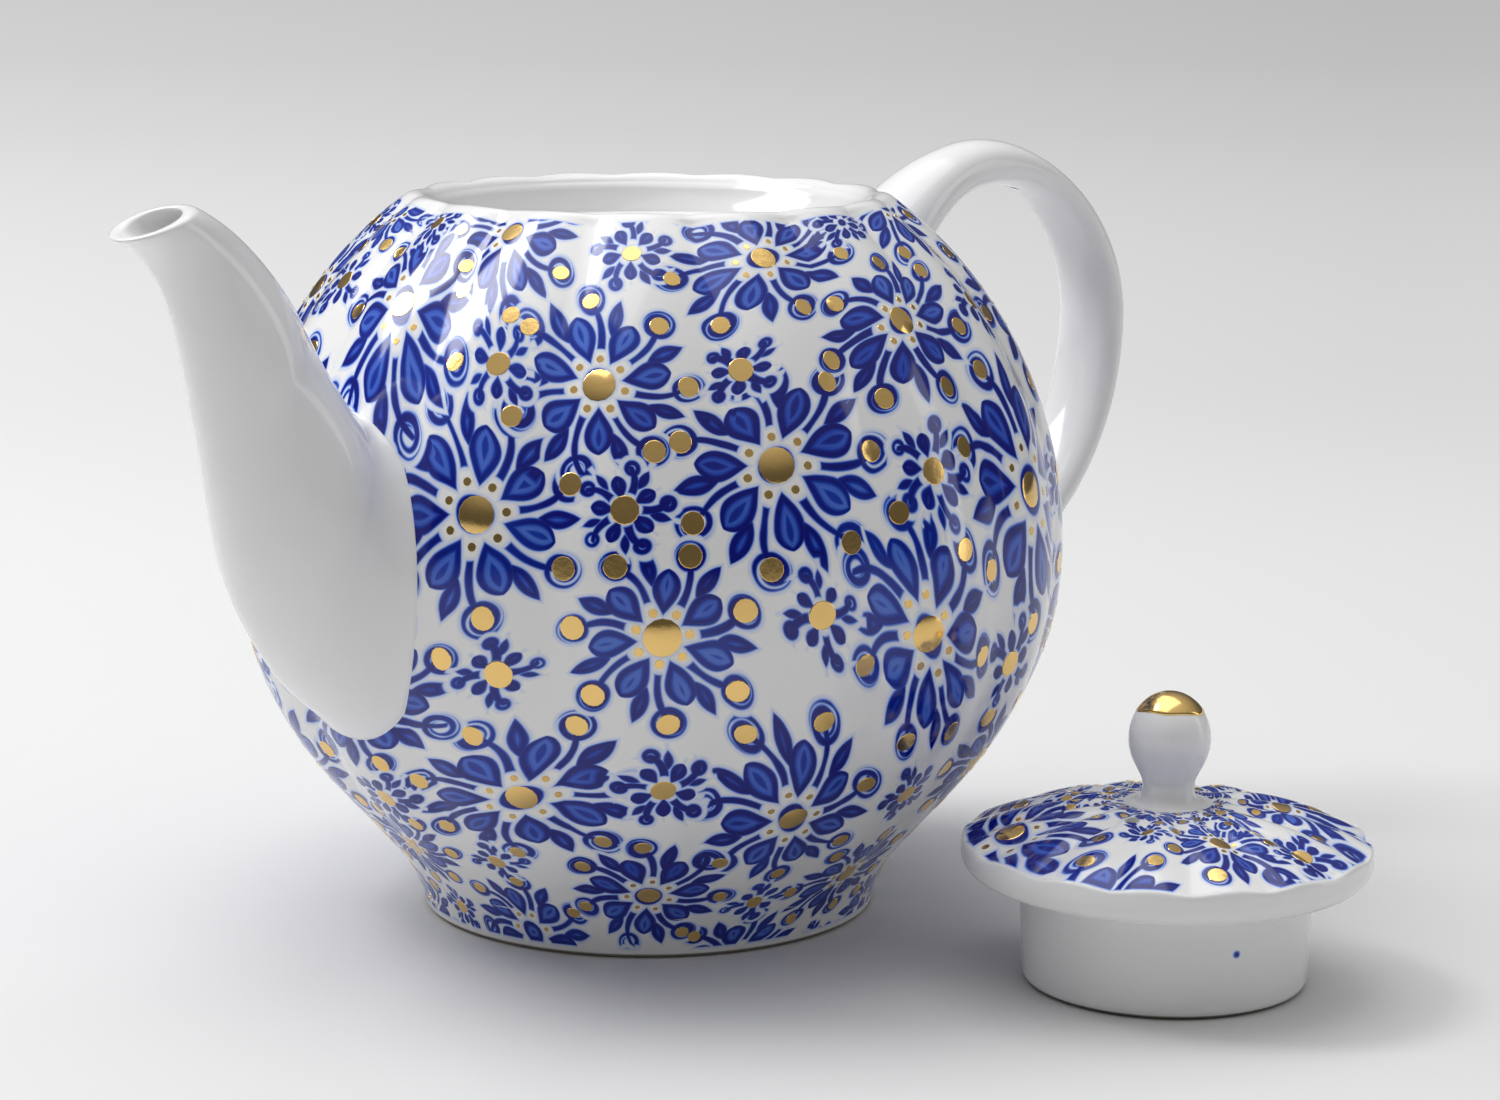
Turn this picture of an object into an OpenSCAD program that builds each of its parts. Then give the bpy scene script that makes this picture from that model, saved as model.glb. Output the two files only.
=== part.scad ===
// Porcelain teapot: a lobed round pot with a luted spout and handle, and a loose lid with a knob.
// Millimetres, +Z up. The origin is the centre of the foot on the table, the spout points to -X
// and the handle to +X. The lid stands on its skirt beside the pot.

/* [Body] */
// Outer radius of the foot where it stands
foot_r = 36; // [32:0.5:40]
// Radius over the lobes at the widest height
girth_r = 65.8; // [62:0.2:70]
// Height of the widest part
girth_z = 58; // [54:1:62]
// Height of the mouth rim
rim_z = 113.6; // [110:0.2:118]
// Outer radius of the mouth rim, where the shoulder rolls over
rim_r = 38.2; // [37:0.2:42]
// Radius of the roll on the mouth rim
rim_roll = 3; // [2.4:0.1:3.4]
// Wall thickness of the body
wall = 3.2; // [2.6:0.1:4]
// Number of lobes round the body and the lid
lobe_count = 16; // [8:2:20]
// Depth of the creases between the lobes of the body
lobe_depth = 1.3; // [0.6:0.1:1.8]
// Height above the foot where the lobes reach their full depth
lobe_full_z = 42; // [30:1:60]

/* [Foot] */
// Width of the unglazed ring that the pot stands on
foot_ring_w = 3.2; // [2.4:0.2:5]
// Depth of the hollow inside the foot ring
foot_hollow = 2.4; // [1.5:0.1:4]

/* [Mouth] */
// Radius of the recess that holds the lid's rim
seat_r = 32.2; // [31.8:0.1:33.2]
// Depth of that recess below the mouth rim
seat_depth = 6.4; // [5:0.2:8]
// Thickness of the ledge that the lid sits on
ledge_t = 3; // [2.4:0.1:4]
// Radial clearance of the lid's skirt in the throat
throat_gap = 1.8; // [1:0.1:3]

/* [Strainer] */
// Diameter of one strainer hole behind the spout
strainer_d = 5; // [3:0.5:6]
// Distance between strainer holes
strainer_pitch = 9; // [8:0.5:11]

/* [Spout] */
// Distance of the lip's far edge from the pot's axis
spout_reach = 101; // [96:1:106]
// Height of the lip's far edge
spout_lip_z = 112.5; // [108:0.5:118]
// Height of the underside of the spout's root
spout_root_low = 34; // [30:1:40]
// Height of the top of the spout's root
spout_root_high = 82; // [76:1:88]
// Half the width of the spout at its root
spout_root_half_w = 22; // [18:0.5:24]
// Half the width of the spout at its neck
spout_neck_half_w = 5.7; // [5:0.1:7]
// Half the width of the lip
spout_lip_half_w = 6.9; // [6:0.1:8]
// Wall thickness of the spout
spout_wall = 2.2; // [1.8:0.1:2.6]

/* [Handle] */
// Distance of the handle's centreline from the pot's axis, where it stands out most
handle_reach = 108.7; // [100:0.5:116]
// Height of that place
handle_mid_z = 85.7; // [80:1:92]
// Half the width of the handle's strap
handle_half_w = 6.8; // [6:0.1:9]
// Half the thickness of the handle's strap
handle_half_t = 3.4; // [3.2:0.1:4.5]
// Wall thickness of the hollow handle
handle_wall = 1.7; // [1.4:0.1:2]
// Length of the vent slit inside the loop
vent_slit_l = 2.6; // [2:0.2:5]
// Width of the vent slit
vent_slit_w = 1.2; // [0.8:0.1:2]

/* [Lid] */
// Radius of the lid's rim
lid_r = 30.7; // [30:0.1:31.2]
// Radius of the lid's skirt at the rim
skirt_r = 21.9; // [20:0.1:23]
// Height of the skirt below the rim
skirt_h = 16.2; // [12:0.2:20]
// Wall thickness of the skirt
skirt_wall = 2.6; // [2:0.1:3.4]
// Height of the lid's dome above the underside of its rim
dome_h = 11; // [10:0.2:13]
// Height of the plain side of the rim
rim_side_h = 5.6; // [4.5:0.1:6.4]
// Depth of the creases in the dome
dome_crease = 0.8; // [0.4:0.1:1.2]
// Thickness of the dome
dome_t = 3; // [2.4:0.1:4]
// Diameter of the steam hole
steam_d = 2.2; // [1.6:0.2:3.4]
// Distance of the steam hole from the lid's axis
steam_r = 11.7; // [9.5:0.1:14]

/* [Knob] */
// Radius of the knob's ball
knob_r = 6.2; // [5.4:0.1:8]
// Radius of the knob's neck
knob_neck_r = 3.9; // [3:0.1:4.6]
// Radius of the knob's foot on the dome
knob_foot_r = 6; // [5.2:0.1:6.4]
// Height of the knob above the dome
knob_h = 16.8; // [15:0.2:20]

/* [Place of the lid] */
// Distance of the lid from the pot's axis towards the handle
lid_x = 24; // [0:1:60]
// Distance of the lid from the pot's axis towards the front
lid_y = -87; // [-120:1:-84]
// Turn of the lid about its own axis
lid_turn = 12; // [0:1:22]

/* [Hidden] */

porcelain = "#f4f4f2";
painted = "#dfe4f2";
gilded = "#d9b25a";

lobe_steps = 6;                          // facets across one lobe
round_steps = lobe_count * lobe_steps;   // facets round the pot and the lid
profile_steps = 12;                      // rings below the girth, and as many above
tube_steps = 20;                         // facets round the spout and the handle
bore_fn = 48;                            // facets of a plain bore
cut = 1;                                 // how far a cut runs past the face it opens

// ---- curves and shells -------------------------------------------------------------------

function bezier(a, b, c, d, t) =
    a * pow(1 - t, 3) + b * 3 * t * pow(1 - t, 2) + c * 3 * t * t * (1 - t) + d * pow(t, 3);

function smooth(t) = let (u = min(1, max(0, t))) u * u * (3 - 2 * u);

// A value that runs smoothly through stations [place, value]
function through(stations, t, i = 0) =
    i >= len(stations) - 2 || t <= stations[i + 1][0]
        ? stations[i][1] + (stations[i + 1][1] - stations[i][1])
            * smooth((t - stations[i][0]) / (stations[i + 1][0] - stations[i][0]))
        : through(stations, t, i + 1);

// 0 over the middle of a lobe, 1 in the crease between two lobes
function crease(angle) = 1 - abs(cos(lobe_count / 2 * angle));

// Where a profile goes at one angle round the axis: [radius, height, normal angle, crease depth]
function lobed(p, angle) =
    let (r = p[0] - crease(angle) * p[3] * cos(p[2]), z = p[1] - crease(angle) * p[3] * sin(p[2]))
    [r * cos(angle), r * sin(angle), z];

// A closed solid through rings of equally many points, with flat ends
module skin(rings) {
    n = len(rings[0]);
    last = (len(rings) - 1) * n;
    polyhedron(
        points = [for (ring = rings) each ring],
        faces = [
            [for (i = [0:n - 1]) i],
            for (j = [0:len(rings) - 2], i = [0:n - 1])
                let (a = j * n + i, b = j * n + (i + 1) % n) [a, a + n, b],
            for (j = [0:len(rings) - 2], i = [0:n - 1])
                let (a = j * n + i, b = j * n + (i + 1) % n) [b, a + n, b + n],
            [for (i = [n - 1:-1:0]) last + i]
        ]);
}

module lobed_solid(profile) {
    skin([for (p = profile) [for (i = [0:round_steps - 1]) lobed(p, i * 360 / round_steps)]]);
}

// ---- body --------------------------------------------------------------------------------

// The foot leaves the table nearly upright and swells into the belly
foot_flare = 1.5;
foot_rise = 15;
belly_drop = 33;

// The shoulder is a quarter of an oval that stops where the rim rolls over
shoulder_end = acos(rim_r / girth_r);
roll_normal = 54.5;
shoulder_top = rim_z - rim_roll * (1 - sin(roll_normal));
shoulder_h = (shoulder_top - girth_z) / sin(shoulder_end);
roll_end = 150;
roll_steps = 5;

function belly_point(t) =
    bezier([foot_r, 0], [foot_r + foot_flare, foot_rise],
           [girth_r, girth_z - belly_drop], [girth_r, girth_z], t);
function shoulder_point(t) =
    [girth_r * cos(t * shoulder_end), girth_z + shoulder_h * sin(t * shoulder_end)];
function outside(s) = s <= 1 ? belly_point(s) : shoulder_point(s - 1);   // s from 0 to 2
function normal_angle(s) =
    let (e = 0.01, d = outside(min(2, s + e)) - outside(max(0, s - e))) atan2(-d[0], d[1]);
function lobe_share(z) = smooth(z / lobe_full_z);

function body_station(s) =
    let (p = outside(s)) [p[0], p[1], normal_angle(s), lobe_depth * lobe_share(p[1])];
function roll_station(t) =
    let (a = roll_normal + t * (roll_end - roll_normal),
         centre = [rim_r - rim_roll * cos(roll_normal), rim_z - rim_roll])
    [centre[0] + rim_roll * cos(a), centre[1] + rim_roll * sin(a), roll_normal, lobe_depth * (1 - t)];

body_profile = [
    for (i = [0:profile_steps]) body_station(i / profile_steps),
    for (i = [1:profile_steps]) body_station(1 + i / profile_steps),
    for (i = [1:roll_steps]) roll_station(i / roll_steps)
];

floor_z = foot_hollow + wall;
ledge_z = rim_z - seat_depth;
throat_r = skirt_r + throat_gap;
cavity_steps = 24;

// The inside follows the outside at the wall's thickness, measured from the creases
function inside(s) =
    let (p = outside(s), a = normal_angle(s), w = wall + lobe_depth * lobe_share(p[1]))
    [p[0] - w * cos(a), p[1] - w * sin(a)];
cavity_side = [
    for (i = [1:cavity_steps]) let (p = inside(2 * i / cavity_steps))
        if (p[1] > floor_z + 1 && p[1] < ledge_z - ledge_t) p
];
ceiling_r = cavity_side[len(cavity_side) - 1][0];

module cavity() {
    rotate_extrude($fn = round_steps)
        polygon([
            [0, floor_z],
            [cavity_side[0][0] - 1, floor_z],
            each cavity_side,
            [ceiling_r - 1, ledge_z - ledge_t],
            [throat_r, ledge_z - ledge_t],
            [throat_r, ledge_z],
            [seat_r, ledge_z],
            [seat_r, rim_z + cut],
            [0, rim_z + cut]
        ]);
}

// One hole in the middle and six round it, through the wall behind the spout
strainer_z = (spout_root_low + spout_root_high) / 2;

module strainer_holes() {
    places = [[0, 0], for (i = [0:5]) strainer_pitch * [sin(i * 60), cos(i * 60)]];
    for (p = places)
        translate([-girth_r - cut, p[0], strainer_z + p[1]])
            rotate([0, 90, 0])
                cylinder(h = girth_r / 2, d = strainer_d, $fn = bore_fn);
}

module pot_outside() {
    lobed_solid(body_profile);
}

module body() {
    color(painted)
        difference() {
            pot_outside();
            cavity();
            strainer_holes();
            translate([0, 0, -cut])
                cylinder(h = foot_hollow + cut, r = foot_r - foot_ring_w, $fn = round_steps);
        }
}

// ---- spout -------------------------------------------------------------------------------

// Side view of the spout, as [distance from the axis, height]: its top edge and its underside.
// Both start inside the pot, and each end's pull is how far it draws the curve its own way.
root_s = 50;
lip_open = [12.1, -4.5];                 // from the lip's near edge to its far edge
top_root_pull = [19.7, -4.5];
top_lip_pull = [-24.3, -11];
low_root_pull = [45.2, 6];
low_lip_pull = [-22, -6.5];
lip_far = [spout_reach, spout_lip_z];
lip_near = lip_far - lip_open;
top_root = [root_s, spout_root_high];
low_root = [root_s, spout_root_low];

function spout_top(t) =
    bezier(top_root, top_root + top_root_pull, lip_near + top_lip_pull, lip_near, t);
function spout_under(t) =
    bezier(low_root, low_root + low_root_pull, lip_far + low_lip_pull, lip_far, t);
spout_widths = [[0, spout_root_half_w], [0.3, 14.2], [0.6, 9],
                [0.88, spout_neck_half_w], [1, spout_lip_half_w]];

// A ring across the spout, smaller by the inset all round
function spout_ring(t, inset) =
    let (top = spout_top(t), low = spout_under(t), mid = (top + low) / 2,
         half = norm(top - low) / 2 - inset, up = (top - low) / norm(top - low),
         w = through(spout_widths, t) - inset)
    [for (i = [0:tube_steps - 1]) let (a = i * 360 / tube_steps)
        [-(mid[0] + up[0] * half * cos(a)), w * sin(a), mid[1] + up[1] * half * cos(a)]];

spout_rings = 20;
lip_round = 0.9;
lip_out = 0.006;

module spout_outside() {
    skin([
        for (i = [0:spout_rings]) spout_ring(i / spout_rings, 0),
        spout_ring(1 + lip_out, lip_round / 3),
        spout_ring(1 + 1.4 * lip_out, lip_round)
    ]);
}

module spout_channel() {
    run_past = 0.04;
    skin([for (i = [0:spout_rings])
        spout_ring(-run_past + i / spout_rings * (1 + 2 * run_past), spout_wall)]);
}

module spout() {
    color(porcelain)
        difference() {
            spout_outside();
            spout_channel();
            pot_outside();
        }
}

// ---- handle ------------------------------------------------------------------------------

// Side view of the handle's centreline, from the shoulder over the top and down to the belly,
// in two stretches that meet where it stands out most
handle_top_root = [48.5, 96];
handle_low_root = [55, 36.2];
handle_mid = [handle_reach, handle_mid_z];
shoulder_pull = [26.1, 35.2];
crown_pull = [0, 21.6];
heel_pull = [0, -26.6];
belly_pull = [30.3, 6.2];

function handle_line(t) =
    t < 0.5
        ? bezier(handle_top_root, handle_top_root + shoulder_pull,
                 handle_mid + crown_pull, handle_mid, 2 * t)
        : bezier(handle_mid, handle_mid + heel_pull,
                 handle_low_root + belly_pull, handle_low_root, 2 * t - 1);
function handle_dir(t) =
    let (e = 0.005, d = handle_line(min(1, t + e)) - handle_line(max(0, t - e))) d / norm(d);
handle_thicks = [[0, 6], [0.15, 4.2], [0.3, handle_half_t - 0.4], [0.5, handle_half_t],
                 [0.75, handle_half_t + 0.3], [1, 5.5]];
handle_widths = [[0, 8.7], [0.15, handle_half_w - 0.6], [0.3, handle_half_w - 0.4],
                 [0.5, handle_half_w], [0.75, handle_half_w + 0.3], [1, 8.5]];

function handle_ring(t, inset) =
    let (p = handle_line(t), d = handle_dir(t), n = [-d[1], d[0]],
         h = through(handle_thicks, t) - inset, w = through(handle_widths, t) - inset)
    [for (i = [0:tube_steps - 1]) let (a = i * 360 / tube_steps)
        [p[0] + n[0] * h * cos(a), -w * sin(a), p[1] + n[1] * h * cos(a)]];

handle_rings = 28;
vent_t = 0.245;                          // place of the vent slit along the handle

module handle_outside() {
    skin([for (i = [0:handle_rings]) handle_ring(i / handle_rings, 0)]);
}

module handle_core() {
    skin([for (i = [0:handle_rings]) handle_ring(i / handle_rings, handle_wall)]);
}

module vent_slit() {
    p = handle_line(vent_t);
    d = handle_dir(vent_t);
    translate([p[0], 0, p[1]])
        rotate([0, -atan2(d[1], d[0]), 0])
            translate([-vent_slit_l / 2, -vent_slit_w / 2, -2 * handle_half_t])
                cube([vent_slit_l, vent_slit_w, 2 * handle_half_t]);
}

module handle() {
    color(porcelain)
        difference() {
            handle_outside();
            handle_core();
            vent_slit();
            pot_outside();
        }
}

// ---- lid ---------------------------------------------------------------------------------

dome_foot_z = skirt_h + rim_side_h;      // where the dome meets the plain rim
dome_top_z = skirt_h + dome_h;
dome_edge_r = lid_r - 0.5;
seat_boss_r = knob_foot_r + 0.4;
dome_steps = 8;
edge_normal = 50;

function dome_z(r) =
    dome_foot_z + (dome_top_z - dome_foot_z)
        * (1 - pow((r - seat_boss_r) / (dome_edge_r - seat_boss_r), 2));
function dome_station(t) =
    let (r = seat_boss_r + (dome_edge_r - seat_boss_r) * (1 - t))
    [r, dome_z(r), 90 - (90 - edge_normal) * (1 - t), dome_crease * smooth((1 - t) * 3)];

lid_profile = [
    [skirt_r - 1.8, 0, 0, 0],
    [skirt_r - 1.1, 0.4, 0, 0],
    [skirt_r - 0.6, 1.4, 0, 0],
    [skirt_r, skirt_h, 0, 0],
    [lid_r - 3.2, skirt_h, 0, 0],
    [lid_r - 1.6, skirt_h + 0.4, 0, 0],
    [lid_r - 0.5, skirt_h + 1.5, 0, 0],
    [lid_r, skirt_h + 3.2, 0, 0],
    [lid_r, skirt_h + rim_side_h - 1.2, 0, 0],
    for (i = [0:dome_steps]) dome_station(i / dome_steps)
];

module lid_hollow() {
    r = skirt_r - skirt_wall;
    rotate_extrude($fn = round_steps)
        polygon([
            [0, -cut],
            [r - 0.6, -cut],
            [r - 0.6, 0],
            [r, skirt_h + 1],
            [r - 2, dome_z(r) - dome_t],
            [r / 2, dome_z(r / 2) - dome_t],
            [0, dome_top_z - dome_t]
        ]);
}

module place_lid() {
    translate([lid_x, lid_y, 0])
        rotate([0, 0, lid_turn])
            children();
}

module lid() {
    color(painted)
        place_lid()
            difference() {
                lobed_solid(lid_profile);
                lid_hollow();
                translate([-steam_r, 0, skirt_h])
                    cylinder(h = dome_h + cut, d = steam_d, $fn = bore_fn);
            }
}

// ---- knob --------------------------------------------------------------------------------

knob_neck_z = 2.9;                       // height of the neck above the dome
knob_ball_z = 9.8;                       // height of the widest part above the dome
knob_steps = 10;

// From the foot up the neck, over the swelling of the ball and round its top
knob_outline = [
    [0, 0],
    [knob_foot_r, 0],
    for (i = [1:knob_steps])
        bezier([knob_foot_r, 0.2], [knob_neck_r, 0.8], [knob_neck_r, 1.6],
               [knob_neck_r, knob_neck_z], i / knob_steps),
    for (i = [1:knob_steps])
        bezier([knob_neck_r, knob_neck_z], [knob_neck_r, knob_neck_z + 1.6],
               [knob_r, knob_ball_z - 3.6], [knob_r, knob_ball_z], i / knob_steps),
    for (i = [1:knob_steps])
        [knob_r * cos(i * 90 / knob_steps),
         knob_ball_z + (knob_h - knob_ball_z) * sin(i * 90 / knob_steps)]
];

module knob() {
    color(gilded)
        place_lid()
            translate([0, 0, dome_top_z])
                rotate_extrude($fn = bore_fn)
                    polygon(knob_outline);
}

body();
spout();
handle();
lid();
knob();
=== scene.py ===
# %% [markdown]
# # A porcelain teapot, painted in cobalt and gilded
#
# This teapot is made of hard white porcelain: a round body with sixteen shallow lobes on a small
# foot ring, a plain white spout and handle that were luted on before firing, and a loose lid
# with a ball knob. The body and the lid's dome carry blue painting under the glaze and small
# gold ornaments on top of it. The lid is off and stands beside the pot.
#
# Forms that are thrown or cast round are drawn as half a profile and spun. A tube is a sheet of
# mesh that is bent round. The painting is built from nodes that measure the distance to each
# brush stroke. Lengths are written in millimetres, as a potter would give them, and turned into
# Blender's metres by MM.

# %% Load the fixed frame
import math

import bpy
import numpy as np
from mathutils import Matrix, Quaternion, Vector


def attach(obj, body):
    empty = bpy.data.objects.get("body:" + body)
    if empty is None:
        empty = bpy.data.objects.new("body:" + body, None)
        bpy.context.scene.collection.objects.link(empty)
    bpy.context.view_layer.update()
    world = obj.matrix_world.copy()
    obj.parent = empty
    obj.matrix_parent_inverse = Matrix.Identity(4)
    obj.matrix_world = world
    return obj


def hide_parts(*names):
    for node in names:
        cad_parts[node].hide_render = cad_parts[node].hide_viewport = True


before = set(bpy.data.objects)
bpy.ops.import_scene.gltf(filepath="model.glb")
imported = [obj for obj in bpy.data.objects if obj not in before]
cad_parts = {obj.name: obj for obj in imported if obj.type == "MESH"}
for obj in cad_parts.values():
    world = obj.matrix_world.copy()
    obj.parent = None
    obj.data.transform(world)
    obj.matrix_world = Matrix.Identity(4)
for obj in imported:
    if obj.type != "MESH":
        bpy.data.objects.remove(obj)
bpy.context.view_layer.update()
MM = 0.001

# %% [markdown]
# ## The camera
#
# The camera stands a little above the table and looks down by about ten degrees, with a long lens
# that keeps the pot's outline nearly free of perspective. Its place is given seen from above: how
# far it is from the pot's axis, and the direction, counted from the side on which the lid stands.

# %% Place the camera
VIEW_TURN = math.radians(43.5)          # from the lid's side of the pot towards the spout
camera_distance = 579.5 * MM
camera_height = 164.6 * MM
camera_pan = 0.0278                     # radians to the right of the pot's axis
camera_pitch = 0.1843                   # radians downwards
camera_roll = 0.0058


def from_camera(right, away, up):
    """A point given as seen by the camera: to its right, away from it and up, all in metres."""
    return Vector((
        right * math.cos(VIEW_TURN) + away * math.sin(VIEW_TURN),
        -right * math.sin(VIEW_TURN) + away * math.cos(VIEW_TURN),
        up,
    ))


def into_scene(name, data):
    """A new object that holds the data, linked to the scene."""
    item = bpy.data.objects.new(name, data)
    bpy.context.scene.collection.objects.link(item)
    return item


camera_data = bpy.data.cameras.new("camera")
camera_data.sensor_width = 36
camera_data.lens = 88.8
camera = into_scene("camera", camera_data)
camera.location = from_camera(0, -camera_distance, camera_height)
look = from_camera(
    math.sin(camera_pan) * math.cos(camera_pitch),
    math.cos(camera_pan) * math.cos(camera_pitch),
    -math.sin(camera_pitch),
)
camera.rotation_mode = "QUATERNION"
camera.rotation_quaternion = look.to_track_quat("-Z", "Y") @ Quaternion((0, 0, 1), camera_roll)
bpy.context.scene.camera = camera
print("camera at, mm:", [round(c / MM) for c in camera.location])

# %% [markdown]
# ## Curves
#
# Two curves shape nearly everything here. A Bezier curve runs from one point to another while two
# more points pull at it, which is how a potter's rib moves. A smooth step goes from 0 to 1 with no
# corner at either end, and fades one thing into another.

# %% Write the two curves


def bezier(a, b, c, d, t):
    """Points on a curve from a to d that b and c pull; t is a number or an array from 0 to 1."""
    t = np.asarray(t, float)[..., None]
    a, b, c, d = (np.asarray(p, float) for p in (a, b, c, d))
    return a * (1 - t) ** 3 + 3 * b * t * (1 - t) ** 2 + 3 * c * t * t * (1 - t) + d * t ** 3


def smooth(t):
    """Rises from 0 to 1 with no corner at either end."""
    t = np.clip(t, 0, 1)
    return t * t * (3 - 2 * t)


print("a quarter of the way, the smooth step is at", float(smooth(0.25)))

# %% [markdown]
# ## The pot's profile
#
# The body leaves its foot nearly upright, swells into a round belly, and closes in a shoulder that
# is a quarter of an oval. The rim then rolls over inwards. The same few sizes give the profile of
# the fixed frame, so this skin lies where the frame's solid lies, only finer. Along the profile,
# s runs from 0 to 1 up the belly and from 1 to 2 over the shoulder.

# %% Sizes of the body, in millimetres
FOOT_R, FOOT_FLARE, FOOT_RISE = 36, 1.5, 15
GIRTH_R, GIRTH_Z, BELLY_DROP = 65.8, 58, 33
RIM_R, RIM_Z, RIM_ROLL = 38.2, 113.6, 3
ROLL_NORMAL, ROLL_END = 54.5, 150       # degrees: where the roll of the rim starts and ends
LOBES, LOBE_DEPTH, LOBE_FULL_Z = 16, 1.3, 42
WALL = 3.2

shoulder_end = math.acos(RIM_R / GIRTH_R)
shoulder_top = RIM_Z - RIM_ROLL * (1 - math.sin(math.radians(ROLL_NORMAL)))
shoulder_h = (shoulder_top - GIRTH_Z) / math.sin(shoulder_end)
print("the shoulder is a quarter oval", GIRTH_R, "mm wide and", round(shoulder_h, 1), "mm high")

# %% [markdown]
# The outside is wanted in three ways: as the plain profile, as the direction that it faces at each
# height, and as the lobed skin. All later pieces that touch the pot ask these functions where the
# pot is.

# %% Draw the profile, and the lobed skin over it
FACING_STEP = 0.002                     # how far to each side the slope is read, along s


def outline(s):
    """The profile's (radius, height): s runs 0 to 1 up the belly and 1 to 2 over the shoulder."""
    s = np.asarray(s, float)
    belly = bezier((FOOT_R, 0), (FOOT_R + FOOT_FLARE, FOOT_RISE),
                   (GIRTH_R, GIRTH_Z - BELLY_DROP), (GIRTH_R, GIRTH_Z), np.clip(s, 0, 1))
    turn = np.clip(s - 1, 0, 1) * shoulder_end
    shoulder = np.stack([GIRTH_R * np.cos(turn), GIRTH_Z + shoulder_h * np.sin(turn)], -1)
    return np.where((s <= 1)[..., None], belly, shoulder)


def facing(s):
    """The direction that the profile faces, in radians above level."""
    rise = outline(np.minimum(s + FACING_STEP, 2)) - outline(np.maximum(s - FACING_STEP, 0))
    return np.arctan2(-rise[..., 0], rise[..., 1])


def crease(azimuth):
    """0 over the middle of a lobe and 1 in the crease between two."""
    return 1 - np.abs(np.cos(LOBES / 2 * azimuth))


def pot_skin(s, azimuth, lift=0.0):
    """Points on the lobed outside, raised by lift the way the surface faces, in millimetres."""
    radius, height = np.moveaxis(outline(s), -1, 0)
    face = facing(s)
    out = lift - crease(azimuth) * LOBE_DEPTH * smooth(height / LOBE_FULL_Z)
    radius = radius + out * np.cos(face)
    height = height + out * np.sin(face)
    return np.stack([radius * np.cos(azimuth), radius * np.sin(azimuth), height], -1)


print("profile height, mm:", round(float(outline(2)[1]), 2), "rim at", RIM_Z)

# %% [markdown]
# ## A map for painting that keeps flowers round
#
# A painter's flower is as wide as it is high wherever it sits on the pot. If the height on the map
# grew evenly with the height on the pot, flowers near the narrow foot would come out squeezed. The
# map's height is instead the sum of each small step up the profile divided by the radius there,
# as on a sailor's chart, and its width is the angle round the pot. One unit of the map is an
# eighth of a turn.

# %% Lay out the map of the body
ROUND = 8                               # units round the pot
UNIT = 2 * math.pi / ROUND              # one unit, in radians

ladder = np.linspace(0, 2, 801)
steps = np.linalg.norm(np.diff(outline(ladder), axis=0), axis=1)
mid_radius = (outline(ladder)[1:, 0] + outline(ladder)[:-1, 0]) / 2
chart_height = np.concatenate([[0], np.cumsum(steps / mid_radius)]) / UNIT
PAINT_TOP = float(chart_height[-1])


def body_place(u, v, lift):
    """The point of the body at (u, v) of the map, in millimetres."""
    return pot_skin(np.interp(v, chart_height, ladder), np.asarray(u) * UNIT, lift)


print("the map of the body is", ROUND, "units round and", round(PAINT_TOP, 3), "high")

# %% [markdown]
# ## Reading and writing a mesh
#
# Operators work on what is selected, so a piece is first made the only one selected. Its points are
# read as an array in millimetres, moved by arithmetic and written back. After each piece a short
# report gives its size and counts open edges: porcelain is a solid wall, so there should be none.

# %% Helpers for one piece at a time


def only(piece):
    """Makes the piece the one selected and active object."""
    bpy.ops.object.select_all(action="DESELECT")
    piece.select_set(True)
    bpy.context.view_layer.objects.active = piece


def corners(piece):
    """The mesh's points as an array, in millimetres."""
    flat = np.empty(len(piece.data.vertices) * 3)
    piece.data.vertices.foreach_get("co", flat)
    return flat.reshape(-1, 3) / MM


def set_corners(piece, points):
    """Moves the mesh's points to these places, in millimetres."""
    piece.data.vertices.foreach_set("co", (np.asarray(points) * MM).ravel())
    piece.data.update()


def report(piece):
    """Prints a piece's size, its number of faces, and its open edges."""
    edge_use = np.zeros(len(piece.data.edges), int)
    loop_edges = np.empty(len(piece.data.loops), int)
    piece.data.loops.foreach_get("edge_index", loop_edges)
    np.add.at(edge_use, loop_edges, 1)
    size = " x ".join(f"{side:.1f}" for side in np.ptp(corners(piece), axis=0))
    faces, holes = len(piece.data.polygons), (edge_use != 2).sum()
    print(f"{piece.name}: {size} mm, {faces} faces, open edges {holes}")


print("nodes of the frame that the pieces will stand for:", sorted(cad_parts))

# %% [markdown]
# ## Spinning a profile
#
# Plates, lids and bodies are thrown or cast round, so half a profile is enough. The profile goes in
# as a chain of edges, and the Spin operator turns it once round the axis. Merging doubles closes
# the seam and the two ends on the axis. Spinning can leave the skin inside out, so the normals are
# then made to face outwards.

# %% A helper that spins a profile
MERGE = 0.002                           # points closer than this become one, in millimetres
STEPS_A_LOBE = 12                       # steps of the body's spin for each lobe


def spun(name, profile, around):
    """A closed round solid from a profile of (radius, height) points in millimetres."""
    mesh = bpy.data.meshes.new(name)
    points = [(radius * MM, 0, height * MM) for radius, height in profile]
    mesh.from_pydata(points, [(i, i + 1) for i in range(len(points) - 1)], [])
    piece = into_scene(name, mesh)
    only(piece)
    bpy.ops.object.mode_set(mode="EDIT")
    bpy.ops.mesh.select_all(action="SELECT")
    bpy.ops.mesh.spin(steps=around, angle=2 * math.pi, center=(0, 0, 0), axis=(0, 0, 1))
    bpy.ops.mesh.select_all(action="SELECT")
    bpy.ops.mesh.remove_doubles(threshold=MERGE * MM)
    bpy.ops.mesh.normals_make_consistent(inside=False)
    bpy.ops.object.mode_set(mode="OBJECT")
    bpy.ops.object.shade_smooth()
    return piece


print("steps round the body for", LOBES, "lobes:", LOBES * STEPS_A_LOBE)

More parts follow.
